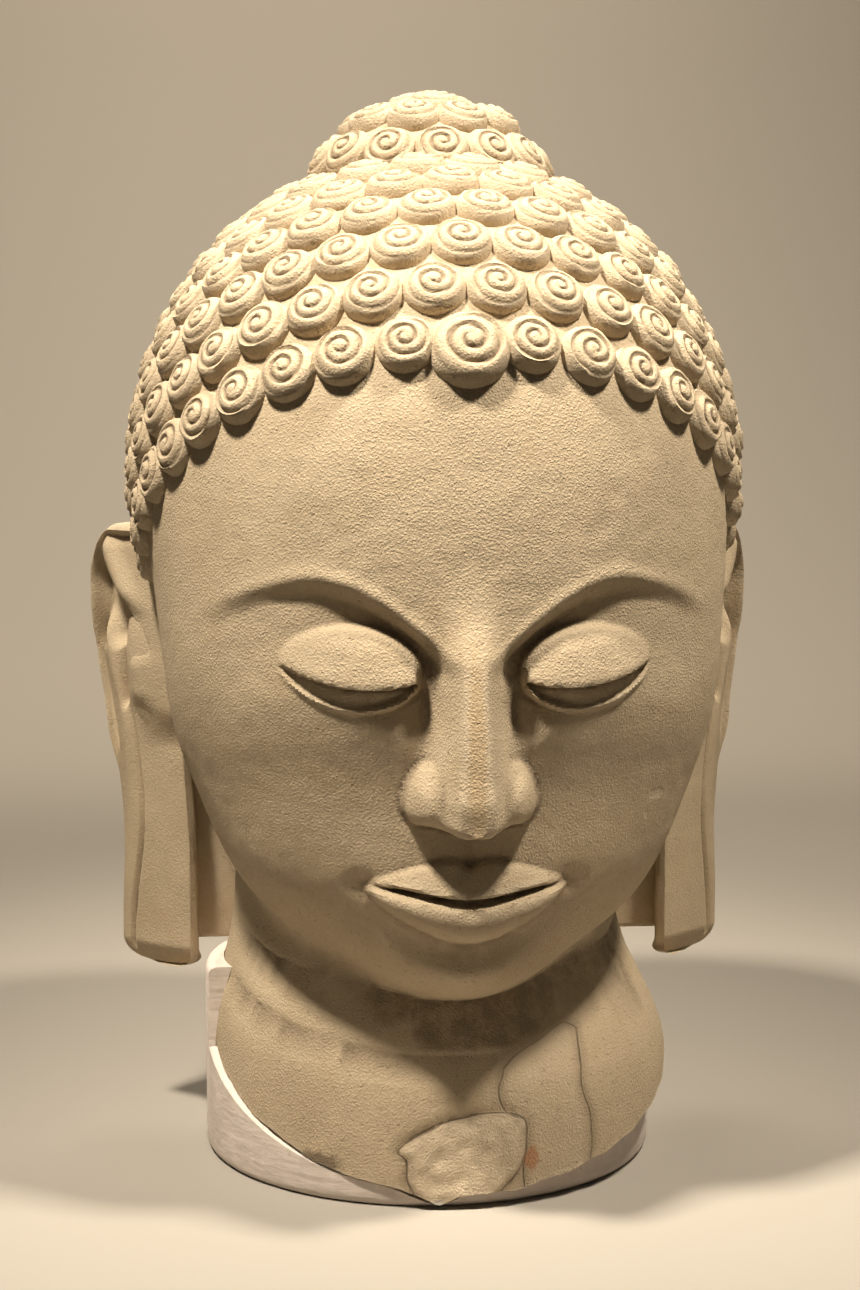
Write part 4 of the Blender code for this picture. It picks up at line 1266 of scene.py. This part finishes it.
def build_curls(settings):
    """The snail-shell curls, copied from one over the scalp and the crown knob."""
    curls, stone = settings.buddha_curls, settings.buddha_stone
    template = curl_template(curls)
    chance = np.random.default_rng(7)
    parts = {"scalp_curls_left": [], "scalp_curls_right": [], "crown_curls": []}
    scalp = scalp_curls(curls)
    for number, (point, normal, scale) in enumerate(scalp + knob_curls(curls)):
        piece = template.copy()
        piece.data = template.data.copy()
        bpy.context.scene.collection.objects.link(piece)
        turned = normal.to_track_quat("Z", "Y").to_matrix().to_4x4()
        downhill = Vector((0.0, 0.0, -1.0)) - normal * -normal.z
        if downhill.length > 0.3:
            axis = normal.cross(downhill.normalized())
            turned = Matrix.Rotation(-math.radians(CURL_TILT), 4, axis) @ turned
        spin = Matrix.Rotation(chance.uniform(0, 2 * math.pi), 4, "Z")
        wide = curls.radius * scale * chance.uniform(0.97, 1.03)
        tall = curls.height * scale * chance.uniform(0.94, 1.03)
        place = Matrix.Translation(point - normal * CURL_SINK) @ turned
        piece.data.transform(place @ Matrix.Diagonal((wide, wide, tall, 1.0)) @ spin)
        side = "scalp_curls_left" if point.x > 0 else "scalp_curls_right"
        parts["crown_curls" if number >= len(scalp) else side].append(piece)
    bpy.data.objects.remove(template)
    finish = sandstone("curl_sandstone", stone, 1.15, stone.pit_depth, 0.16, add_spirals)
    for name, pieces in parts.items():
        joined = join(pieces, name)
        points = mesh_points(joined.data)
        normals = mesh_normals(joined.data)
        waver = 0.00040 * roughness_noise(points, 0.0042, 4.0) + 0.0004 * roughness_noise(points, 0.012, 8.0)
        set_points(joined.data, points + normals * waver[:, None])
        mark_hollows(joined.data, 1)
        finish_piece(joined, "sandstone", finish)


# The ears.


def ear_half_width(down):
    """The ear's half width, fore and aft, at a share of its height from the top."""
    waist = smooth_step(0.22, 0.62, down)
    width = EAR_TOP_HALF_WIDTH + (EAR_LOBE_HALF_WIDTH - EAR_TOP_HALF_WIDTH) * waist
    top_round = np.sqrt(np.clip(1 - np.clip(1 - down / 0.15, 0, 1) ** 2, 0, 1))
    foot_round = np.sqrt(np.clip(1 - np.clip((down - 0.965) / 0.035, 0, 1) ** 2, 0, 1))
    return width * (0.02 + 0.98 * top_round * foot_round)


def within(value, low, high, soft):
    """1 between two bounds and 0 outside them, with soft edges."""
    return smooth_step(low - soft, low + soft, value) * (1 - smooth_step(high - soft, high + soft, value))


def upper_ear_relief(aft, half, down, ears):
    """The rolled rim and its front limb round a deep hollow, the inner ridge and the tragus."""
    across = aft / half
    height = ears.rim_height
    inset = np.minimum(half - aft, down * EAR_LENGTH)
    rim_width = ears.rim_width * (1 - 0.55 * smooth_step(0.16, 0.30, down))
    rim = height * (1 - smooth_step(0.55 * rim_width, rim_width, inset)) * (1 - smooth_step(0.46, 0.58, down))
    limb_at = 0.45 - 5.3 * (down - 0.05)
    limb = height * hill(across - limb_at, 0.26) * within(down, 0.03, 0.18, 0.035)
    ridge_at = 0.65 - 1.2 * (down - 0.21)
    ridge = hill(across - ridge_at, 0.15) * smooth_step(0.18, 0.26, down)
    bowl = smooth_step(limb_at + 0.10, limb_at + 0.42, across) * within(down, 0.07, 0.27, 0.025)
    slot_at = 0.02 + 2.2 * np.clip(down - 0.28, 0.0, None)
    slot_width = 0.17 - 0.6 * np.clip(down - 0.27, 0.0, 0.15)
    slot = hill(across - slot_at, slot_width) * within(down, 0.24, 0.41, 0.015)
    inside = smooth_step(0.6 * rim_width, 1.3 * rim_width, inset)
    hollow = -ears.hollow_depth * np.maximum(bowl, 0.85 * slot) * (1 - 0.85 * ridge) * inside
    crease_inset = 0.0026 + 0.008 * np.clip(down - 0.257, 0.0, None)
    crease = -0.6 * height * hill(half - aft - crease_inset, 0.0011) * within(down, 0.27, 0.50, 0.03)
    tragus = 0.9 * height * hill(across + 0.28, 0.30) * within(down, 0.29, 0.40, 0.03)
    ridge_lift = 0.25 * height * ridge * (1 - smooth_step(0.42, 0.50, down))
    return rim + limb * (1 - bowl) + ridge_lift + hollow + crease + tragus


def lobe_relief(aft, down, ears):
    """The long lobe: a round outer strip and a flat inner one, with a fine groove between them."""
    lower = smooth_step(0.40, 0.50, down)
    groove_at = 0.002 + 0.009 * smooth_step(0.60, 0.97, down)
    groove = -ears.groove_depth * hill(aft - groove_at, ears.groove_width)
    groove = groove * (1 - smooth_step(0.95, 0.98, down))
    flat = -0.25 * np.clip(groove_at - aft, 0.0, None)
    outer = 0.0012 * hill(aft - groove_at - 0.0055, 0.0048)
    foot = -0.0022 * smooth_step(0.945, 0.985, down)
    return (groove + flat + outer + foot) * lower


def ear_relief(aft, down, ears):
    """The carving of the ear's outer face, in metres."""
    half = np.maximum(ear_half_width(down), 1e-6)
    return upper_ear_relief(aft, half, down, ears) + lobe_relief(aft, down, ears)


def plate_section(around, power):
    """A rounded plate's section, from -1 to 1 each way, its points evenly spaced along the outline."""
    angle = np.linspace(0.0, 2 * math.pi, 2001)
    across = np.sign(np.cos(angle)) * np.abs(np.cos(angle)) ** power
    through = np.sign(np.sin(angle)) * np.abs(np.sin(angle)) ** power
    thinness = EAR_HALF_THICKNESS / EAR_LOBE_HALF_WIDTH
    steps = np.hypot(np.diff(across), thinness * np.diff(through))
    length = np.concatenate(([0.0], np.cumsum(steps)))
    share = np.mod(around / (2 * math.pi), 1.0) * length[-1]
    return np.interp(share, length, across), np.interp(share, length, through)


def build_ear(name, side, settings):
    """One long ear with its web and root: a ball drawn out to a plate, then carved."""
    ears, stone = settings.buddha_ears, settings.buddha_stone
    ear = sphere(name, ears.columns, ears.rings)
    unit = mesh_points(ear.data)
    down = np.arccos(np.clip(unit[:, 2], -1, 1)) / math.pi
    around = np.arctan2(unit[:, 1], unit[:, 0])
    pole = np.hypot(unit[:, 0], unit[:, 1]) < 1e-6
    half = np.where(pole, 0.0, ear_half_width(down))
    squareness = smooth_step(0.40, 0.55, down)
    soft, hard = plate_section(around, 0.78), plate_section(around, 0.42)
    fore_aft = soft[0] + (hard[0] - soft[0]) * squareness
    in_out = soft[1] + (hard[1] - soft[1]) * squareness
    aft = half * fore_aft
    thick = EAR_HALF_THICKNESS * np.where(pole, 0.0, np.clip(half / EAR_LOBE_HALF_WIDTH, 0, 1) ** 0.6)
    outward = thick * in_out
    carved = outward + ear_relief(aft, down, ears) * smooth_step(0.0, 0.6, in_out)
    outward = np.where(in_out > 0, np.maximum(carved, 0.0010 - thick), outward)
    top, lobe = np.array(EAR_TOP_CENTRE), np.array(EAR_LOBE_CENTRE)
    centre = top + (lobe - top) * smooth_step(0.1, 0.75, down)[:, None]
    turn = math.radians(EAR_TURN)
    x = centre[:, 0] + aft * math.sin(turn) + outward * math.cos(turn)
    y = centre[:, 1] + aft * math.cos(turn) - outward * math.sin(turn)
    set_points(ear.data, np.stack((side * x, y, EAR_TOP - EAR_LENGTH * down), axis=1))
    pieces = [ear, build_web(side), build_root(side)]
    joined = join(pieces, name)
    face_outwards(joined)
    points, normals = mesh_points(joined.data), mesh_normals(joined.data)
    waver = 0.00022 * roughness_noise(points, 0.013, 6.0)
    set_points(joined.data, points + normals * waver[:, None])
    mark_hollows(joined.data, 8)
    soften(joined, 48.0)
    finish_piece(joined, "sandstone", sandstone(name + "_sandstone", stone, 0.55, stone.pit_depth, 0.11))
    return joined


def build_web(side):
    """The stone left standing between an ear and the neck."""
    centre, size = Vector(EAR_WEB_CENTRE), Vector(EAR_WEB_SIZE)
    centre.x *= side
    web = box("web", centre - size / 2, centre + size / 2)
    rounded = web.modifiers.new("rounded", "BEVEL")
    rounded.width = 0.0022
    rounded.segments = 4
    bpy.ops.object.modifier_apply(modifier=rounded.name)
    return web


def build_root(side):
    """The stone that joins the ear's upper half to the side of the head."""
    half = EAR_TOP_HALF_WIDTH
    root = sphere("root", 48, 32)
    centre = (side * (EAR_TOP_CENTRE[0] - 0.7 * half), EAR_TOP_CENTRE[1] - 0.1 * half, EAR_TOP - 2.1 * half)
    size = Matrix.Diagonal((0.85 * half, 0.62 * half, 1.75 * half, 1.0))
    root.data.transform(Matrix.Translation(centre) @ size)
    return root


# The cradle.


def build_cradle(settings):
    """The round block: cut down along the break, and hollowed round the back of the neck."""
    sizes = settings.buddha_cradle
    bpy.ops.object.select_all(action="DESELECT")
    bpy.ops.mesh.primitive_cylinder_add(vertices=192, radius=sizes.radius, depth=sizes.height)
    cradle = added("plaster_cradle")
    cradle.data.transform(Matrix.Translation((NECK_SIDE, 0.0, sizes.height / 2)))
    rounded = cradle.modifiers.new("rounded", "BEVEL")
    rounded.width = sizes.edge
    rounded.segments = 5
    rounded.limit_method = "ANGLE"
    bpy.ops.object.modifier_apply(modifier=rounded.name)

    seat = sphere("seat", 128, 128)
    bands = (((0.5, 0.15, 2.4),), ((0.54, 0.20, 1.4),))
    rays = core_rays(mesh_points(seat.data), *bands)
    set_points(seat.data, trace(*rays, SEAT_CLEARANCE, seat_distance))
    face_outwards(seat)
    reach = 2 * sizes.radius
    near = 0.9 * reach
    carve(seat, box("open_front", (-near, -near, -near), (near, COLLAR_FRONT, near)), "UNION")
    carve(seat, box("open_side", (COLLAR_SIDE, -reach, -reach), (reach, reach, reach)), "UNION")
    carve(seat, below_break("seat_floor", 100, BREAK_GAP, 0.0))
    carve(cradle, seat)
    mark_hollows(cradle.data, 2)
    soften(cradle, 32.0)
    finish_piece(cradle, "white_plaster", painted_plaster(sizes))
    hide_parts("neck_cradle")
    return cradle


# The stage.


def build_floor(stage):
    """A pale floor that sweeps up behind the head."""
    bpy.ops.object.select_all(action="DESELECT")
    bpy.ops.mesh.primitive_grid_add(x_subdivisions=8, y_subdivisions=120, size=FLOOR_SIZE)
    floor = added("studio_floor")
    points = mesh_points(floor.data)
    past = np.clip(points[:, 1] - SWEEP_START, 0.0, None)
    angle = np.clip(past / SWEEP_RADIUS, 0.0, math.pi / 2)
    beyond = np.clip(past - SWEEP_RADIUS * math.pi / 2, 0.0, None)
    points[:, 1] = np.where(past > 0, SWEEP_START + SWEEP_RADIUS * np.sin(angle), points[:, 1])
    points[:, 2] = SWEEP_RADIUS * (1 - np.cos(angle)) + beyond
    points[:, 1] += SWEEP_LEAN * beyond
    set_points(floor.data, points)
    bpy.ops.object.shade_smooth()
    floor.data.materials.append(studio_paper(stage))


def add_lamp(name, place, target, size, spread, power):
    """A square lamp aimed at a point."""
    bpy.ops.object.select_all(action="DESELECT")
    bpy.ops.object.light_add(type="AREA", location=place)
    lamp = bpy.context.active_object
    lamp.name = name
    lamp.data.size = size
    lamp.data.spread = math.radians(spread)
    lamp.data.energy = power
    lamp.data.color = LAMP_COLOUR
    lamp.rotation_euler = (Vector(target) - Vector(place)).to_track_quat("-Z", "Y").to_euler()


def add_camera(stage):
    """The camera at the photograph's angle."""
    turn, pitch = stage.camera_turn, stage.camera_pitch
    flat = Vector((math.sin(turn), math.cos(turn), 0.0))
    place = Vector((CAMERA_SIDE, 0.0, stage.camera_height)) - flat * stage.camera_distance
    bpy.ops.object.camera_add(location=place)
    camera = bpy.context.active_object
    camera.name = "photo_camera"
    looking = flat * math.cos(pitch) - Vector((0.0, 0.0, math.sin(pitch)))
    camera.rotation_euler = looking.to_track_quat("-Z", "Y").to_euler()
    camera.data.lens = stage.lens
    camera.data.sensor_width = 36.0
    bpy.context.scene.camera = camera


def build_stage(settings):
    """The floor, the lamps, the fill light and the camera."""
    stage = settings.buddha_stage
    build_floor(stage)
    near = (LAMP_TARGET, LAMP_SIZE, LAMP_SPREAD)
    add_lamp("key_lamp", (-0.42, -0.34, 1.25), *near, stage.key_power)
    add_lamp("second_lamp", (0.42, -0.32, 1.22), *near, stage.second_power)
    add_lamp("back_lamp", (0.0, 0.75, 1.35), (0.0, 0.80, 0.0), 0.7, 180.0, stage.back_power)
    world = bpy.data.worlds.new("studio_fill")
    bpy.context.scene.world = world
    world.use_nodes = True
    tree = world.node_tree
    fill = tree.nodes["Background"]
    fill.inputs["Color"].default_value = rgb(LAMP_COLOUR)
    fill.inputs["Strength"].default_value = stage.fill
    seen = tree.nodes.new("ShaderNodeBackground")
    seen.inputs["Color"].default_value = rgb(stage.backdrop_colour)
    seen.inputs["Strength"].default_value = SKY_STRENGTH
    either = tree.nodes.new("ShaderNodeMixShader")
    tree.links.new(tree.nodes.new("ShaderNodeLightPath").outputs["Is Camera Ray"], either.inputs[0])
    tree.links.new(fill.outputs[0], either.inputs[1])
    tree.links.new(seen.outputs[0], either.inputs[2])
    tree.links.new(either.outputs[0], tree.nodes["World Output"].inputs["Surface"])
    bpy.context.scene.view_settings.view_transform = "Standard"
    add_camera(stage)


# Operators and panel.


class BUDDHA_OT_carved_head(Operator):
    """Carves the head, its face and its broken neck"""

    bl_idname = "buddha.carved_head"
    bl_label = "Carved head"

    def execute(self, context):
        build_head(context.scene)
        return {"FINISHED"}


class BUDDHA_OT_curls(Operator):
    """Sets the snail-shell curls over the scalp and the crown knob"""

    bl_idname = "buddha.curls"
    bl_label = "Snail-shell curls"

    def execute(self, context):
        build_curls(context.scene)
        return {"FINISHED"}


class BUDDHA_OT_ears(Operator):
    """Carves the two long ears"""

    bl_idname = "buddha.ears"
    bl_label = "Long ears"

    def execute(self, context):
        build_ear("left_ear", 1, context.scene)
        build_ear("right_ear", -1, context.scene)
        return {"FINISHED"}


class BUDDHA_OT_cradle(Operator):
    """Makes the round plaster cradle under the neck"""

    bl_idname = "buddha.cradle"
    bl_label = "Plaster cradle"

    def execute(self, context):
        build_cradle(context.scene)
        return {"FINISHED"}


class BUDDHA_OT_stage(Operator):
    """Adds the floor, the lamps and the camera"""

    bl_idname = "buddha.stage"
    bl_label = "Floor, lamps and camera"

    def execute(self, context):
        build_stage(context.scene)
        return {"FINISHED"}


SETTINGS = {
    "buddha_stone": StoneSettings,
    "buddha_curls": CurlSettings,
    "buddha_ears": EarSettings,
    "buddha_cradle": CradleSettings,
    "buddha_stage": StageSettings,
}
OPERATORS = (
    BUDDHA_OT_carved_head,
    BUDDHA_OT_curls,
    BUDDHA_OT_ears,
    BUDDHA_OT_cradle,
    BUDDHA_OT_stage,
)


class BUDDHA_PT_panel(Panel):
    """Lists the settings and the steps that build the head"""

    bl_idname = "BUDDHA_PT_panel"
    bl_label = "Stone Buddha head"
    bl_space_type = "VIEW_3D"
    bl_region_type = "UI"
    bl_category = "Buddha head"

    def draw(self, context):
        for name, operator in zip(SETTINGS, OPERATORS):
            column = self.layout.column(align=True)
            settings = getattr(context.scene, name)
            for key in settings.__annotations__:
                column.prop(settings, key)
            column.operator(operator.bl_idname)


def register():
    """Registers the settings, the operators and the panel."""
    for name, group in SETTINGS.items():
        bpy.utils.register_class(group)
        setattr(bpy.types.Scene, name, PointerProperty(type=group))
    for operator in OPERATORS:
        bpy.utils.register_class(operator)
    bpy.utils.register_class(BUDDHA_PT_panel)


def unregister():
    """Removes what register added."""
    bpy.utils.unregister_class(BUDDHA_PT_panel)
    for operator in reversed(OPERATORS):
        bpy.utils.unregister_class(operator)
    for name, group in reversed(SETTINGS.items()):
        delattr(bpy.types.Scene, name)
        bpy.utils.unregister_class(group)


def main():
    """Builds every piece in order."""
    register()
    bpy.ops.buddha.carved_head()
    bpy.ops.buddha.curls()
    bpy.ops.buddha.ears()
    bpy.ops.buddha.cradle()
    bpy.ops.buddha.stage()


if __name__ == "__main__":
    main()
